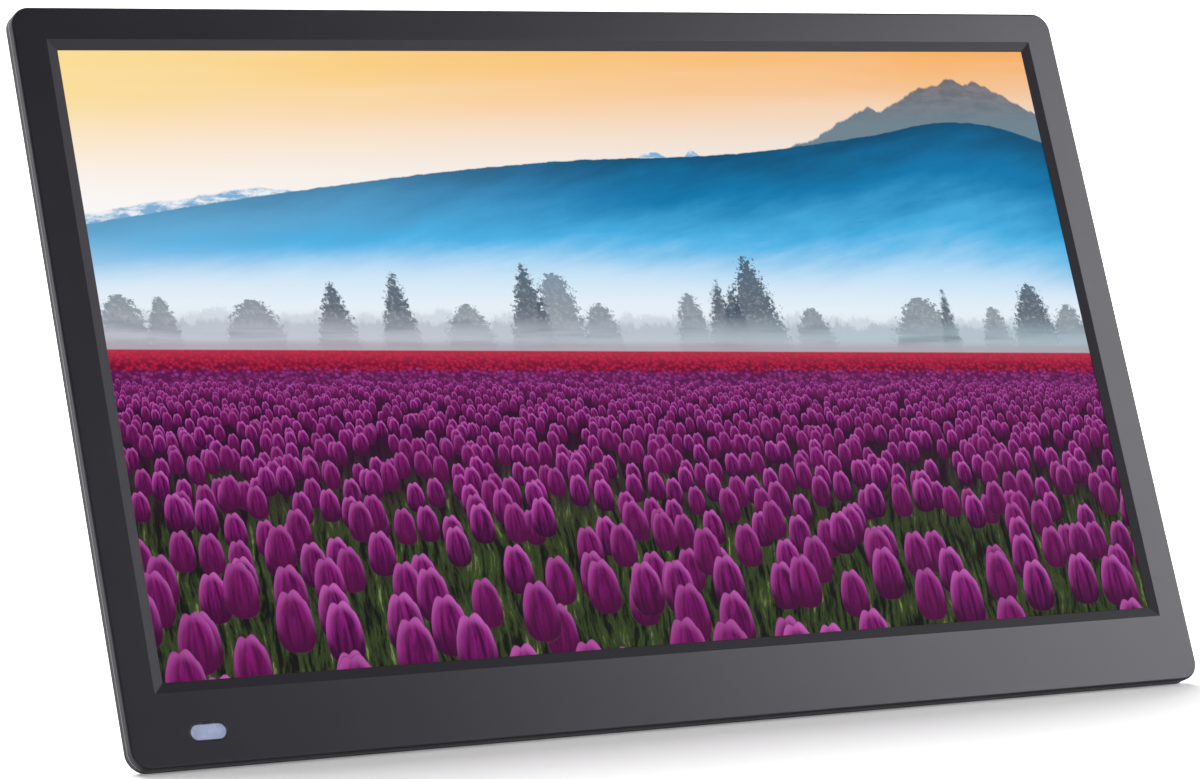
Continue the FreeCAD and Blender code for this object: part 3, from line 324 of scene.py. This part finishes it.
def peak(s, across, up, rough, middle, width, top, foot):
    """Mask of one far mountain: a tent with a crumbled outline."""
    away = s.math("ABSOLUTE", s.math("SUBTRACT", across, middle))
    rise = s.math("MULTIPLY_ADD", away, -(top - foot) / width, top)
    rise = s.math("ADD", rise, rough)
    return s.math("MULTIPLY_ADD", s.math("SUBTRACT", rise, up), OUTLINE, 0.5, clamp=True)


def far_peaks(s, colour, across, up):
    rough = s.math("MULTIPLY_ADD", s.noise(s.xyz(across, 0.0), 26, 4, 0.6), 0.05, -0.025)
    body = s.noise(s.xyz(across, s.math("MULTIPLY", up, 1.6)), 38, 5, 0.65)
    grey = s.mix(s.swing(body), srgb(104, 104, 112), srgb(132, 130, 134))
    grey = s.mix(s.ramp(up, 0.94, 0.85), grey, srgb(112, 134, 146))
    for middle, width, top in GREY_PEAKS:
        colour = s.mix(peak(s, across, up, rough, middle, width, top, GREY_FOOT), colour, grey)
    snow = s.mix(s.ramp(body, 0.42, 0.62), srgb(128, 176, 214), srgb(240, 244, 248))
    for middle, width, top in SNOWY_PEAKS:
        mask = peak(s, across, up, s.math("MULTIPLY", rough, 0.5), middle, width, top,
                    top - SNOWY_HEIGHT)
        colour = s.mix(mask, colour, snow)
    return colour


def blue_ridge(s, colour, across, up):
    line = s.curve(across, RIDGE)
    rough = s.noise(s.xyz(across, 3.7), 60, 3, 0.6)
    line = s.math("MULTIPLY_ADD", rough, 0.007, line)
    below = s.math("SUBTRACT", line, up)
    right = s.ramp(across, 0, 1, smooth=False)
    depth = s.blend_value(right, 0.13, 0.38)
    share = s.math("DIVIDE", below, depth)
    slant = s.math("MULTIPLY_ADD", up, 2.4, s.math("MULTIPLY", across, -0.9))
    folds = s.noise(s.xyz(across, slant), 9, 5, 0.6)
    share = s.math("MULTIPLY_ADD", s.math("SUBTRACT", folds, 0.5), 0.34, share)
    dark = s.mix(s.ramp(across, -0.1, 0.6), *RIDGE_TOP)
    blue = s.mix(s.ramp(across, 0.0, 0.6), *RIDGE_SLOPE)
    body = s.mix(s.ramp(share, -0.05, 0.3), dark, blue)
    body = s.mix(s.ramp(share, 0.22, 0.58), body, RIDGE_LOW)
    body = s.mix(s.ramp(share, 0.48, 0.86), body, RIDGE_FOOT)
    fade = s.math("MULTIPLY_ADD", across, -0.075, 0.655)
    mist = s.ramp(s.math("SUBTRACT", up, fade), 0.05, -0.08)
    body = s.mix(mist, body, MIST)
    return s.mix(s.math("MULTIPLY", below, CRISP, clamp=True), colour, body)


def tree(s, across, level, jag, middle, half, top, foot, power):
    """Mask of one tree: half its width at the foot, and pointed or round by its power."""
    rise = s.ramp(level, foot, top, 1.0, 0.0, smooth=False)
    width = s.math("MULTIPLY", s.math("POWER", rise, power), half)
    width = s.math("MULTIPLY_ADD", jag, half * 1.5, width)
    away = s.math("ABSOLUTE", s.math("SUBTRACT", across, middle))
    inside = s.math("MULTIPLY", s.math("SUBTRACT", width, away), OUTLINE, clamp=True)
    return s.math("MULTIPLY", inside, s.math("LESS_THAN", level, top))


def misty_trees(s, colour, across, level):
    leaves = s.noise(s.xyz(across, s.math("MULTIPLY", level, 0.62)), 210, 4, 0.75)
    jag = s.math("SUBTRACT", leaves, 0.52)
    gaps = s.ramp(leaves, 0.3, 0.6, 0.7, 1)
    for seed, height, rough, strength, tint in HEDGES:
        ground = s.noise(s.xyz(across, seed), rough, 5, 0.7)
        hedge = s.math("MULTIPLY_ADD", ground, height, HORIZON + 0.012)
        hedge = s.math("MULTIPLY_ADD", jag, 0.02, hedge)
        mask = s.math("MULTIPLY", s.math("SUBTRACT", hedge, level), 120, clamp=True)
        colour = s.mix(s.math("MULTIPLY", mask, strength), colour, tint)
    shade = s.mix(s.ramp(leaves, 0.4, 0.62), srgb(32, 44, 56), srgb(78, 94, 112))
    for kinds, strength in ((BROAD_TREES, 0.74), (CONIFERS, 0.95)):
        for middle, half, top, power in kinds:
            mask = tree(s, across, level, jag, middle, half, top, TREE_FOOT, power)
            mask = s.math("MULTIPLY", mask, gaps)
            colour = s.mix(s.math("MULTIPLY", mask, strength), colour, shade)
    veil = s.ramp(level, HORIZON + 0.075, HORIZON + 0.015, 0, 0.8)
    drift = s.noise(s.xyz(across, s.math("MULTIPLY", level, 7)), 7, 3)
    veil = s.math("MULTIPLY", veil, s.ramp(drift, 0.25, 0.6, 0.5, 1))
    colour = s.mix(veil, colour, s.mix(s.ramp(across, 0, 1), *VEIL))
    stripe = s.ramp(level, HORIZON + 0.02, HORIZON + 0.004)
    return s.mix(s.math("MULTIPLY", stripe, 0.8), colour, FIELD_EDGE)


def tulip_rows(s, x, level):
    """Local place in the nearest bud, its random number and whether there is a bud at all."""
    found = s.xyz(0.0, 0.0, 0.0)
    seen = 0.0
    distance = FIRST_ROW
    for row in range(TULIP_ROWS):
        size = BUD_SHARE * distance
        base = HORIZON - distance
        crowd = BUD_SPACING + NEAR_SPACING * max(row - FAR_ROWS, 0)
        spaced = s.math("MULTIPLY_ADD", x, 1 / (size * crowd), ROW_SHIFT * (row + 1))
        chance = s.node("ShaderNodeTexWhiteNoise", noise_dimensions="1D")
        s.feed(chance.inputs["W"], s.math("FLOOR", spaced))
        dice = s.split(chance.outputs["Color"])
        away = s.math("SUBTRACT", s.math("FRACT", spaced),
                      s.math("MULTIPLY_ADD", dice[0], SIDE_DRIFT, 0.5 - SIDE_DRIFT / 2))
        height = s.math("MULTIPLY_ADD", level, 1 / size, -base / size)
        height = s.math("MULTIPLY_ADD", dice[1], CLIMB, height)
        height = s.math("SUBTRACT", height, 0.1)
        across = s.math("MULTIPLY", away, BUD_SLIM * crowd / BUD_SPACING)
        tall = s.math("MULTIPLY", height, BUD_SHORT)
        narrow = s.math("MULTIPLY_ADD", tall, 0.17, 1.03)
        petals = s.math("ABSOLUTE", s.math("SINE", s.math("MULTIPLY_ADD", across, PETALS, 0.5)))
        petals = s.math("MULTIPLY_ADD", petals, -PETAL_DEPTH, 0.1)
        lifted = s.math("MULTIPLY_ADD", s.math("MAXIMUM", tall, 0.0), petals, tall)
        wide = s.math("POWER", s.math("ABSOLUTE", s.math("MULTIPLY", across, narrow)), BLUNT)
        high = s.math("POWER", s.math("ABSOLUTE", lifted), BLUNT)
        round_off = s.math("ADD", wide, high)
        mask = s.math("MULTIPLY", s.math("SUBTRACT", 1.0, round_off), BUD_SHARPNESS,
                      clamp=True)
        present = s.math("GREATER_THAN", dice[2], BARE_CELLS + BARE_CELLS_NEARER * row)
        mask = s.math("MULTIPLY", mask, present)
        solid = s.math("GREATER_THAN", mask, BUD_SOLID)
        found = s.blend_vector(solid, found, s.xyz(across, tall, dice[2]))
        behind = s.math("MULTIPLY", seen, s.math("SUBTRACT", 1.0, solid))
        seen = s.math("MAXIMUM", behind, mask)
        distance *= ROW_GROWTH
    return found, seen


def bud_colour(s, found):
    across, tall, chance = s.split(found)
    rim = s.vector("LENGTH", s.xyz(across, tall), out=1)
    breadth = s.math("SUBTRACT", 1.05, s.math("MULTIPLY", tall, tall))
    breadth = s.math("SQRT", s.math("MAXIMUM", breadth, 0.05))
    bulge = s.math("DIVIDE", across, breadth)
    streak = s.noise(s.xyz(s.math("MULTIPLY", bulge, 3.2), s.math("MULTIPLY", tall, 0.7),
                           s.math("MULTIPLY", chance, 40)), 1.5, 3, 0.6)
    body = s.mix(s.swing(streak), srgb(70, 2, 66), srgb(158, 26, 136))
    body = s.mix(s.ramp(tall, -0.9, 0.8, 0.85, 0), body, srgb(40, 2, 38))
    right_petal = s.math("SUBTRACT", s.math("MULTIPLY_ADD", tall, 0.16, bulge), 0.32)
    left_petal = s.math("ADD", s.math("MULTIPLY_ADD", tall, -0.16, bulge), 0.38)
    crease = s.math("MINIMUM", s.math("ABSOLUTE", right_petal), s.math("ABSOLUTE", left_petal))
    body = s.mix(s.ramp(crease, 0.16, 0.0, 0, 0.8), body, srgb(34, 1, 30))
    light = s.math("MULTIPLY", s.ramp(rim, 0.62, 1.0), s.ramp(tall, -0.5, 0.7))
    body = s.mix(s.math("MULTIPLY", light, 0.8), body, srgb(216, 112, 204))
    shade = s.math("MULTIPLY", s.ramp(rim, 0.6, 1.0), s.ramp(tall, 0.1, -0.6))
    body = s.mix(s.math("MULTIPLY", shade, 0.7), body, srgb(34, 1, 34))
    side = s.ramp(s.math("SUBTRACT", tall, across), 0.25, 1.3, 0, 0.4)
    body = s.mix(side, body, srgb(172, 66, 148))
    return s.mix(s.ramp(chance, 0.0, 1.0, 0, 0.4), body, srgb(104, 12, 78))


def tulip_field(s, colour, x, across, level):
    below = s.math("SUBTRACT", HORIZON, level)
    warp = s.noise(s.xyz(x, level), 7, 2)
    blade = s.math("MULTIPLY_ADD", warp, 0.05, x)
    stalks = s.xyz(s.math("MULTIPLY", blade, 8), s.math("MULTIPLY", level, 1.3))
    stalks = s.noise(stalks, 11, 4, 0.65)
    green = s.mix(s.ramp(stalks, 0.4, 0.56), srgb(16, 16, 14), srgb(52, 66, 32))
    green = s.mix(s.ramp(stalks, 0.58, 0.72), green, srgb(128, 142, 86))
    green = s.mix(s.ramp(below, 0.34, 0.12), green, srgb(44, 6, 40))
    speck = s.node("ShaderNodeTexVoronoi")
    speck.inputs["Scale"].default_value = 1
    s.feed(speck.inputs["Vector"],
           s.xyz(s.math("MULTIPLY", x, 150), s.math("MULTIPLY", level, 190)))
    chance = s.split(speck.outputs["Color"])[0]
    far = s.mix(chance, srgb(92, 14, 80), srgb(154, 58, 134))
    far = s.mix(s.ramp(speck.outputs["Distance"], 0.2, 0.8), far, srgb(66, 8, 60))
    ground = s.mix(s.ramp(below, 0.055, 0.085), far, green)
    found, seen = tulip_rows(s, x, level)
    ground = s.mix(seen, ground, bud_colour(s, found))
    hazy = s.ramp(below, 0.12, 0.04, 0, 0.16)
    ground = s.mix(hazy, ground, srgb(150, 44, 128))
    red = s.mix(s.ramp(speck.outputs["Distance"], 0.1, 0.8), srgb(178, 22, 60),
                srgb(108, 4, 48))
    red = s.mix(s.ramp(below, 0.0, 0.03, 0.35, 1), srgb(204, 52, 78), red)
    edge = s.math("MULTIPLY_ADD", s.math("SUBTRACT", chance, 0.5), 0.008, below)
    ground = s.mix(s.ramp(edge, 0.04, 0.028), ground, red)
    return s.mix(s.math("MULTIPLY", below, CRISP, clamp=True), colour, ground)


def display_material():
    s = Shading("display_picture")
    across, up = face_coordinates(s)
    across = s.math("MULTIPLY_ADD", across, 1 / PICTURE_WIDTH, 0.5)
    up = s.math("MULTIPLY_ADD", up, 1 / PICTURE_HEIGHT, -CHIN / PICTURE_HEIGHT)
    level = s.math("MULTIPLY_ADD", across, HORIZON_FALL, up)
    x = s.math("MULTIPLY", across, PICTURE_WIDTH / PICTURE_HEIGHT)
    colour = sky(s, across, up)
    colour = far_peaks(s, colour, across, up)
    colour = blue_ridge(s, colour, across, up)
    colour = misty_trees(s, colour, across, level)
    colour = tulip_field(s, colour, x, across, level)
    s.put(Base_Color=(0.004, 0.004, 0.005), Roughness=0.5, Emission_Color=colour,
          Emission_Strength=0.96)
    s.shader.inputs["Specular IOR Level"].default_value = 0.02
    return s.material


# ---- plastics, metals and the rest ----

def moulded_plastic(name, colour, roughness, grain_scale=2200, grain_depth=0.00002,
                    soften=0.0003, shine_level=0.5):
    """Textured plastic: moulded grain, faint drift and smears, and edges paler, partly wear and partly painted
    highlight.
    """
    s = Shading(name)
    place = s.place()
    drift = s.noise(place, 14, 4, 0.6)
    grain = s.noise(place, grain_scale, 2, 0.7)
    smear = s.noise(place, 55, 5, 0.65)
    normal, edge = s.rounded(soften)
    base = s.mix(s.swing(drift), colour, scaled(colour, 1.2))
    base = s.mix(s.ramp(grain, 0.45, 0.75, 0, 0.3), base, scaled(colour, 1.5))
    # edges paler: partly rubbed wear, partly a painted highlight
    worn_and_highlit = s.math("MULTIPLY", edge, s.swing(smear, 0.25, 0.7))
    base = s.mix(worn_and_highlit, base, scaled(colour, 2.0, 0.012))
    shine = s.ramp(smear, 0.3, 0.75, roughness - 0.045, roughness + 0.045)
    shine = s.math("MULTIPLY_ADD", worn_and_highlit, -0.08, shine)
    s.put(Base_Color=base, Roughness=shine, Normal=s.bump(grain, grain_depth, 0.6, normal),
          Specular_IOR_Level=shine_level)
    return s.material


# A face counts as a slope or a side by the cosine between its normal and the front's normal.
SLOPE_STARTS, SLOPE_FULL = 0.992, 0.98
SIDE_STARTS, SIDE_FULL = 0.93, 0.75
STEEP_STARTS, STEEP_FULL = 0.3, 0.1
BEZEL_BLACK = (0.0105, 0.0098, 0.0125)
BEZEL_PALER = (0.0126, 0.0118, 0.015)
BEZEL_GRAIN = (0.0158, 0.0147, 0.0188)
# paler edge colour: partly rubbed wear, partly painted highlight
BEZEL_WORN_AND_HIGHLIT = (0.033, 0.0316, 0.037)
# colour of the painted highlight line round the side of the rim
BEZEL_HIGHLIGHT_LINE = (0.16, 0.16, 0.17)


def bezel_plastic():
    """Satin face, with matt sides and slopes and a painted highlight line round the side of the rim."""
    s = Shading("bezel_plastic")
    place = s.place()
    normal, edge = s.rounded(0.0003)
    flat = s.node("ShaderNodeNewGeometry").outputs["Normal"]
    facing = s.math("ABSOLUTE", s.vector("DOT_PRODUCT", flat, tuple(BACK), out=1))
    slope = s.ramp(facing, SLOPE_STARTS, SLOPE_FULL)
    side = s.ramp(facing, SIDE_STARTS, SIDE_FULL)
    moved = s.vector("SUBTRACT", place, tuple(ORIGIN))
    depth = s.vector("DOT_PRODUCT", moved, tuple(BACK), out=1)
    # painted highlight: a pale line round the side of the rim, where its edge would catch the light
    line = s.ramp(s.math("ABSOLUTE", s.math("SUBTRACT", depth, RIM_HIGHLIGHT_DEPTH)), 0.0003, 0.0001)
    line = s.math("MULTIPLY", line, s.ramp(facing, STEEP_STARTS, STEEP_FULL))
    drift = s.noise(place, 14, 4, 0.6)
    grain = s.noise(place, 2600, 2, 0.7)
    smear = s.noise(place, 55, 5, 0.65)
    base = s.mix(s.swing(drift), BEZEL_BLACK, BEZEL_PALER)
    base = s.mix(s.ramp(grain, 0.45, 0.75, 0, 0.3), base, BEZEL_GRAIN)
    # edges paler: partly rubbed wear, partly a painted highlight
    worn_and_highlit = s.math("MULTIPLY", edge, s.swing(smear, 0.25, 0.7))
    base = s.mix(worn_and_highlit, base, BEZEL_WORN_AND_HIGHLIT)
    # the painted highlight line goes into the colour here
    base = s.mix(line, base, BEZEL_HIGHLIGHT_LINE)
    shine = s.blend_value(slope, s.ramp(smear, 0.3, 0.75, 0.292, 0.308), 0.5)
    shine = s.math("MULTIPLY_ADD", worn_and_highlit, -0.08, shine)
    s.put(Base_Color=base, Roughness=shine, Normal=s.bump(grain, 0.000004, 0.6, normal),
          Specular_IOR_Level=s.blend_value(side, s.blend_value(slope, 0.5, 0.3), 0.16),
          Specular_Tint=(0.93, 0.91, 1.0))
    return s.material


def metal(name, colour, roughness, brushed=False):
    """Bare metal with fine scratches along one way, or none, and faint stains."""
    s = Shading(name)
    place = s.place()
    stretched = s.vector("MULTIPLY", place, (1, 40, 40)) if brushed else place
    lines = s.noise(stretched, 160 if brushed else 400, 3, 0.6)
    stain = s.noise(place, 90, 4, 0.6)
    normal, edge = s.rounded(0.00012)
    base = s.mix(s.ramp(stain, 0.35, 0.7), colour, scaled(colour, 0.78))
    base = s.mix(s.math("MULTIPLY", edge, 0.5), base, scaled(colour, 1.3))
    shine = s.swing(lines, roughness * 0.75, roughness * 1.3)
    s.put(Base_Color=base, Metallic=1.0, Roughness=shine,
          Normal=s.bump(lines, 0.00002, 0.3, normal))
    return s.material


CELLS_PER_METRE = 260         # squares that the tracks of a board run between


def circuit_board():
    """Solder mask with tracks under it and plated holes."""
    s = Shading("circuit_board")
    across, up = face_coordinates(s)
    distances = []
    for nearest in ("F1", "F2"):
        cells = s.node("ShaderNodeTexVoronoi", distance="CHEBYCHEV", feature=nearest)
        cells.inputs["Scale"].default_value = CELLS_PER_METRE
        s.feed(cells.inputs["Vector"], s.xyz(across, up))
        distances.append(cells.outputs["Distance"])
    first, second = distances
    track = s.ramp(s.math("SUBTRACT", second, first), 0.08, 0.14, 1, 0)
    holes = s.ramp(first, 0.1, 0.07)
    mottle = s.noise(s.place(), 60, 3)
    base = s.mix(s.swing(mottle), (0.012, 0.09, 0.045), (0.016, 0.12, 0.06))
    base = s.mix(s.math("MULTIPLY", track, 0.6), base, (0.03, 0.2, 0.1))
    base = s.mix(holes, base, (0.6, 0.45, 0.2))
    s.put(Base_Color=base, Roughness=s.swing(mottle, 0.28, 0.38),
          Normal=s.bump(track, 0.00003, 0.5))
    return s.material


WINDOW_LENGTH = 0.012
WINDOW_HEIGHT = 0.0056
BORDER_STARTS = 0.0008        # from the edge of the window inwards
BORDER_FULL = 0.0004


def window_lens():
    """Milky translucent plastic, deeper in colour towards its ends, in a black printed border."""
    s = Shading("window_lens")
    place = s.vector("SUBTRACT", s.place(), tuple(middle_of("sensor_window")))
    away = s.math("ABSOLUTE", s.split(place)[0])
    cloud = s.noise(place, 400, 3)
    normal, edge = s.rounded(0.0002)
    base = s.mix(s.ramp(away, 0.001, 0.006), (0.34, 0.39, 0.56), (0.26, 0.31, 0.47))
    base = s.mix(s.swing(cloud, 0, 0.25), base, (0.42, 0.46, 0.6))
    up = s.vector("DOT_PRODUCT", place, tuple(UP), out=1)
    end_radius = WINDOW_HEIGHT / 2
    past = s.math("MAXIMUM", s.math("SUBTRACT", away, WINDOW_LENGTH / 2 - end_radius), 0.0)
    reach = s.vector("LENGTH", s.xyz(past, up), out=1)
    border = s.ramp(reach, end_radius - BORDER_STARTS, end_radius - BORDER_FULL)
    base = s.mix(border, base, (0.02, 0.02, 0.026))
    s.put(Base_Color=base, Roughness=s.swing(cloud, 0.22, 0.3), Normal=normal)
    s.shader.inputs["Subsurface Weight"].default_value = 0.15
    s.shader.inputs["Subsurface Radius"].default_value = (0.002, 0.002, 0.003)
    return s.material


def soft_matter(name, colour, scale, depth, roughness=0.85):
    """Paper, foam, film or plain plastic: fine fibres or grain over an uneven colour."""
    s = Shading(name)
    place = s.place()
    fibres = s.noise(place, scale, 4, 0.7)
    drift = s.noise(place, 25, 3)
    base = s.mix(s.swing(drift), colour, scaled(colour, 0.82))
    base = s.mix(s.ramp(fibres, 0.4, 0.7, 0, 0.4), base, scaled(colour, 1.35))
    s.put(Base_Color=base, Roughness=s.swing(fibres, roughness - 0.08, roughness + 0.05),
          Normal=s.bump(fibres, depth, 0.7))
    return s.material


RIB_PITCH = 0.0016


def foot_rubber():
    """Soft rubber with fine ribs across the foot."""
    s = Shading("foot_rubber")
    place = s.place()
    across = s.split(place)[0]
    ribs = s.math("SINE", s.math("MULTIPLY", across, 2 * math.pi / RIB_PITCH))
    dust = s.noise(place, 240, 4, 0.7)
    base = s.mix(s.ramp(dust, 0.45, 0.8, 0, 0.5), (0.014, 0.014, 0.015), (0.05, 0.048, 0.045))
    height = s.math("MULTIPLY_ADD", dust, 0.3, s.math("MULTIPLY", ribs, 0.5))
    s.put(Base_Color=base, Roughness=s.swing(dust, 0.75, 0.88),
          Normal=s.bump(height, 0.00015, 0.6))
    return s.material


def clear_acrylic():
    s = Shading("clear_acrylic")
    haze = s.noise(s.place(), 80, 3)
    s.put(Base_Color=s.mix(s.swing(haze), (0.9, 0.93, 0.95), (0.85, 0.9, 0.92)),
          Roughness=s.swing(haze, 0.03, 0.08))
    s.shader.inputs["Transmission Weight"].default_value = 0.9
    s.shader.inputs["IOR"].default_value = 1.49
    return s.material


LAMPS = 24                    # across the picture


def led_strip():
    """White strip with a yellow lamp at every step."""
    s = Shading("led_strip")
    across, up = face_coordinates(s)
    step = s.math("FRACT", s.math("MULTIPLY_ADD", across, LAMPS / PICTURE_WIDTH, LAMPS / 2))
    lamp = s.ramp(s.math("ABSOLUTE", s.math("SUBTRACT", step, 0.5)), 0.13, 0.1)
    grime = s.noise(s.place(), 200, 3)
    base = s.mix(s.swing(grime), (0.78, 0.78, 0.75), (0.84, 0.84, 0.82))
    s.put(Base_Color=s.mix(lamp, base, (0.85, 0.7, 0.12)),
          Roughness=s.swing(grime, 0.4, 0.55))
    return s.material


BORDER_ACROSS = 0.0268        # printed border, from the middle of the label
BORDER_UP = 0.0063
RULE_UP = 0.0021
RULE_ENDS = 0.0235
INK_EDGE = 0.00034            # half the width of a printed line, with its soft edge
INK_FULL = 0.00024


def rating_label():
    """Blank grey label: a printed border and two plain rules, and no lettering."""
    s = Shading("label")
    moved = s.vector("SUBTRACT", s.place(), tuple(middle_of("rating_label")))
    across = s.math("ABSOLUTE", s.split(moved)[0])
    tall = s.math("ABSOLUTE", s.vector("DOT_PRODUCT", moved, tuple(UP), out=1))
    border = s.math("MAXIMUM", s.math("SUBTRACT", across, BORDER_ACROSS),
                    s.math("SUBTRACT", tall, BORDER_UP))
    line = s.ramp(s.math("ABSOLUTE", border), INK_EDGE, INK_FULL)
    rules = s.math("ABSOLUTE", s.math("SUBTRACT", tall, RULE_UP))
    rule = s.math("MULTIPLY", s.ramp(rules, INK_EDGE, INK_FULL),
                  s.ramp(across, RULE_ENDS, RULE_ENDS - 0.0002))
    fibre = s.noise(s.vector("MULTIPLY", s.place(), (1, 30, 30)), 200, 3)
    base = s.mix(s.swing(fibre), (0.30, 0.305, 0.31), (0.37, 0.375, 0.38))
    s.put(Base_Color=s.mix(s.math("MAXIMUM", line, rule), base, (0.03, 0.03, 0.033)),
          Roughness=s.swing(fibre, 0.45, 0.6), Metallic=0.1)
    return s.material


MATERIALS = {
    "screen": display_material(),
    "bezel_plastic": bezel_plastic(),
    "window_lens": window_lens(),
    "circuit_board": circuit_board(),
    "sheet_steel": metal("sheet_steel", (0.4, 0.4, 0.41), 0.38, True),
    "white_plastic": soft_matter("white_plastic", (0.8, 0.8, 0.77), 900, 0.00002, 0.45),
    "film": soft_matter("film", (0.82, 0.83, 0.84), 1500, 0.00001, 0.5),
    "clear_acrylic": clear_acrylic(),
    "led_strip": led_strip(),
    "aluminium_plate": metal("aluminium_plate", (0.68, 0.69, 0.7), 0.36, True),
    "shell_plastic": moulded_plastic("shell_plastic", (0.016, 0.016, 0.018), 0.5, 1500,
                                     0.00006, 0.0005, 0.3),
    "label": rating_label(),
    "screw_steel": metal("screw_steel", (0.16, 0.16, 0.165), 0.32),
    "brass_insert": metal("brass_insert", (0.72, 0.52, 0.22), 0.25),
    "chip_plastic": moulded_plastic("chip_plastic", (0.018, 0.018, 0.02), 0.45, 3000, 0.00002,
                                    0.0002),
    "coin_steel": metal("coin_steel", (0.62, 0.62, 0.63), 0.18),
    "key_plastic": moulded_plastic("key_plastic", (0.03, 0.03, 0.033), 0.3, 3200, 0.00001,
                                   0.0002),
    "speaker_frame": moulded_plastic("speaker_frame", (0.02, 0.02, 0.022), 0.4),
    "magnet_steel": metal("magnet_steel", (0.45, 0.45, 0.47), 0.35),
    "speaker_paper": soft_matter("speaker_paper", (0.03, 0.03, 0.03), 1400, 0.0001),
    "foam": soft_matter("foam", (0.025, 0.025, 0.027), 2200, 0.0003, 0.9),
    "cable": soft_matter("cable", (0.7, 0.7, 0.67), 700, 0.00003, 0.45),
    "stand_plastic": moulded_plastic("stand_plastic", (0.018, 0.018, 0.02), 0.46, 1500,
                                     0.00005, 0.0004, 0.35),
    "foot_rubber": foot_rubber(),
}


def apply_materials():
    slot_of = {entry["node"]: entry["material_slot"] for entry in frame["record"]["subparts"]}
    for name, node in nodes.items():
        node.data.materials.clear()
        node.data.materials.append(MATERIALS[slot_of[name]])


apply_materials()

# ---- floor and light ----
# A round studio floor that curves up into a low wall and glows further out, lit from above and
# behind, and a soft box to the front right that shades the satin face from dark at the left to
# grey at the right.

FLOOR_RADIUS = 4.2
SWEEP_RADIUS = 0.9
WALL_TOP = 1.3
FLOOR_STEPS = 96
SWEEP_STEPS = 12
RING_STEP = 0.35              # between the rings of the flat part
FLAT_RINGS = 9
GLOW_STARTS = 0.2             # distance from the middle
GLOW_FULL = 2.0
GLOW = (0.16, 0.8)            # near the frame and far from it

SOFT_BOX_PLACE = (1.46, -0.88, 0.88)
SOFT_BOX_AIM = (0, 0, 0.1)
SOFT_BOX_SIZE = (1.35, 0.95)
SOFT_BOX_WATTS = 19
OVERHEAD_PLACE = (0, 2.0, 2.2)
OVERHEAD_AIM = (0, 0.2, 0)
OVERHEAD_SIZE = (3.4, 2.0)
OVERHEAD_WATTS = 230
WORLD_STRENGTH = 0.1


def floor_profile():
    """Points (radius, height) from near the middle of the floor up to the top of the wall."""
    points = [(RING_STEP * step, 0.0) for step in range(1, FLAT_RINGS + 1)]
    for step in range(SWEEP_STEPS + 1):
        turn = math.pi / 2 * step / SWEEP_STEPS
        points.append((FLOOR_RADIUS - SWEEP_RADIUS + SWEEP_RADIUS * math.sin(turn),
                       SWEEP_RADIUS - SWEEP_RADIUS * math.cos(turn)))
    points.append((FLOOR_RADIUS, WALL_TOP))
    return points


def add_floor():
    mesh = bpy.data.meshes.new("floor")
    shape = bmesh.new()
    centre = shape.verts.new((0, 0, 0))
    rings = []
    for radius, height in floor_profile():
        turns = [2 * math.pi * step / FLOOR_STEPS for step in range(FLOOR_STEPS)]
        rings.append([shape.verts.new((radius * math.cos(turn), radius * math.sin(turn), height))
                      for turn in turns])
    for step in range(FLOOR_STEPS):
        following = (step + 1) % FLOOR_STEPS
        shape.faces.new((centre, rings[0][step], rings[0][following]))
        for inner, outer in zip(rings, rings[1:]):
            shape.faces.new((inner[step], outer[step], outer[following], inner[following]))
    for face in shape.faces:
        face.smooth = True
    shape.to_mesh(mesh)
    shape.free()
    floor = bpy.data.objects.new("floor", mesh)
    bpy.context.scene.collection.objects.link(floor)
    s = Shading("floor")
    place = s.place()
    tone = s.noise(place, 2, 3)
    away = s.vector("LENGTH", place, out=1)
    s.put(Base_Color=s.mix(s.swing(tone), (0.9, 0.9, 0.9), (0.92, 0.92, 0.92)),
          Roughness=0.9, Emission_Color=(1, 1, 1),
          Emission_Strength=s.ramp(away, GLOW_STARTS, GLOW_FULL, *GLOW))
    mesh.materials.append(s.material)


def add_light(name, place, aim, size, power):
    data = bpy.data.lights.new(name, "AREA")
    data.shape = "RECTANGLE"
    data.size, data.size_y = size
    data.energy = power
    light = bpy.data.objects.new(name, data)
    light.location = place
    light.rotation_euler = (Vector(place) - Vector(aim)).to_track_quat("Z", "Y").to_euler()
    bpy.context.scene.collection.objects.link(light)


def add_world():
    world = bpy.data.worlds.new("studio")
    bpy.context.scene.world = world
    world.use_nodes = True
    background = world.node_tree.nodes["Background"]
    background.inputs["Color"].default_value = (1, 1, 1, 1)
    background.inputs["Strength"].default_value = WORLD_STRENGTH


add_floor()
add_world()
add_light("soft_box", SOFT_BOX_PLACE, SOFT_BOX_AIM, SOFT_BOX_SIZE, SOFT_BOX_WATTS)
add_light("overhead", OVERHEAD_PLACE, OVERHEAD_AIM, OVERHEAD_SIZE, OVERHEAD_WATTS)
bpy.context.scene.view_settings.view_transform = "Standard"
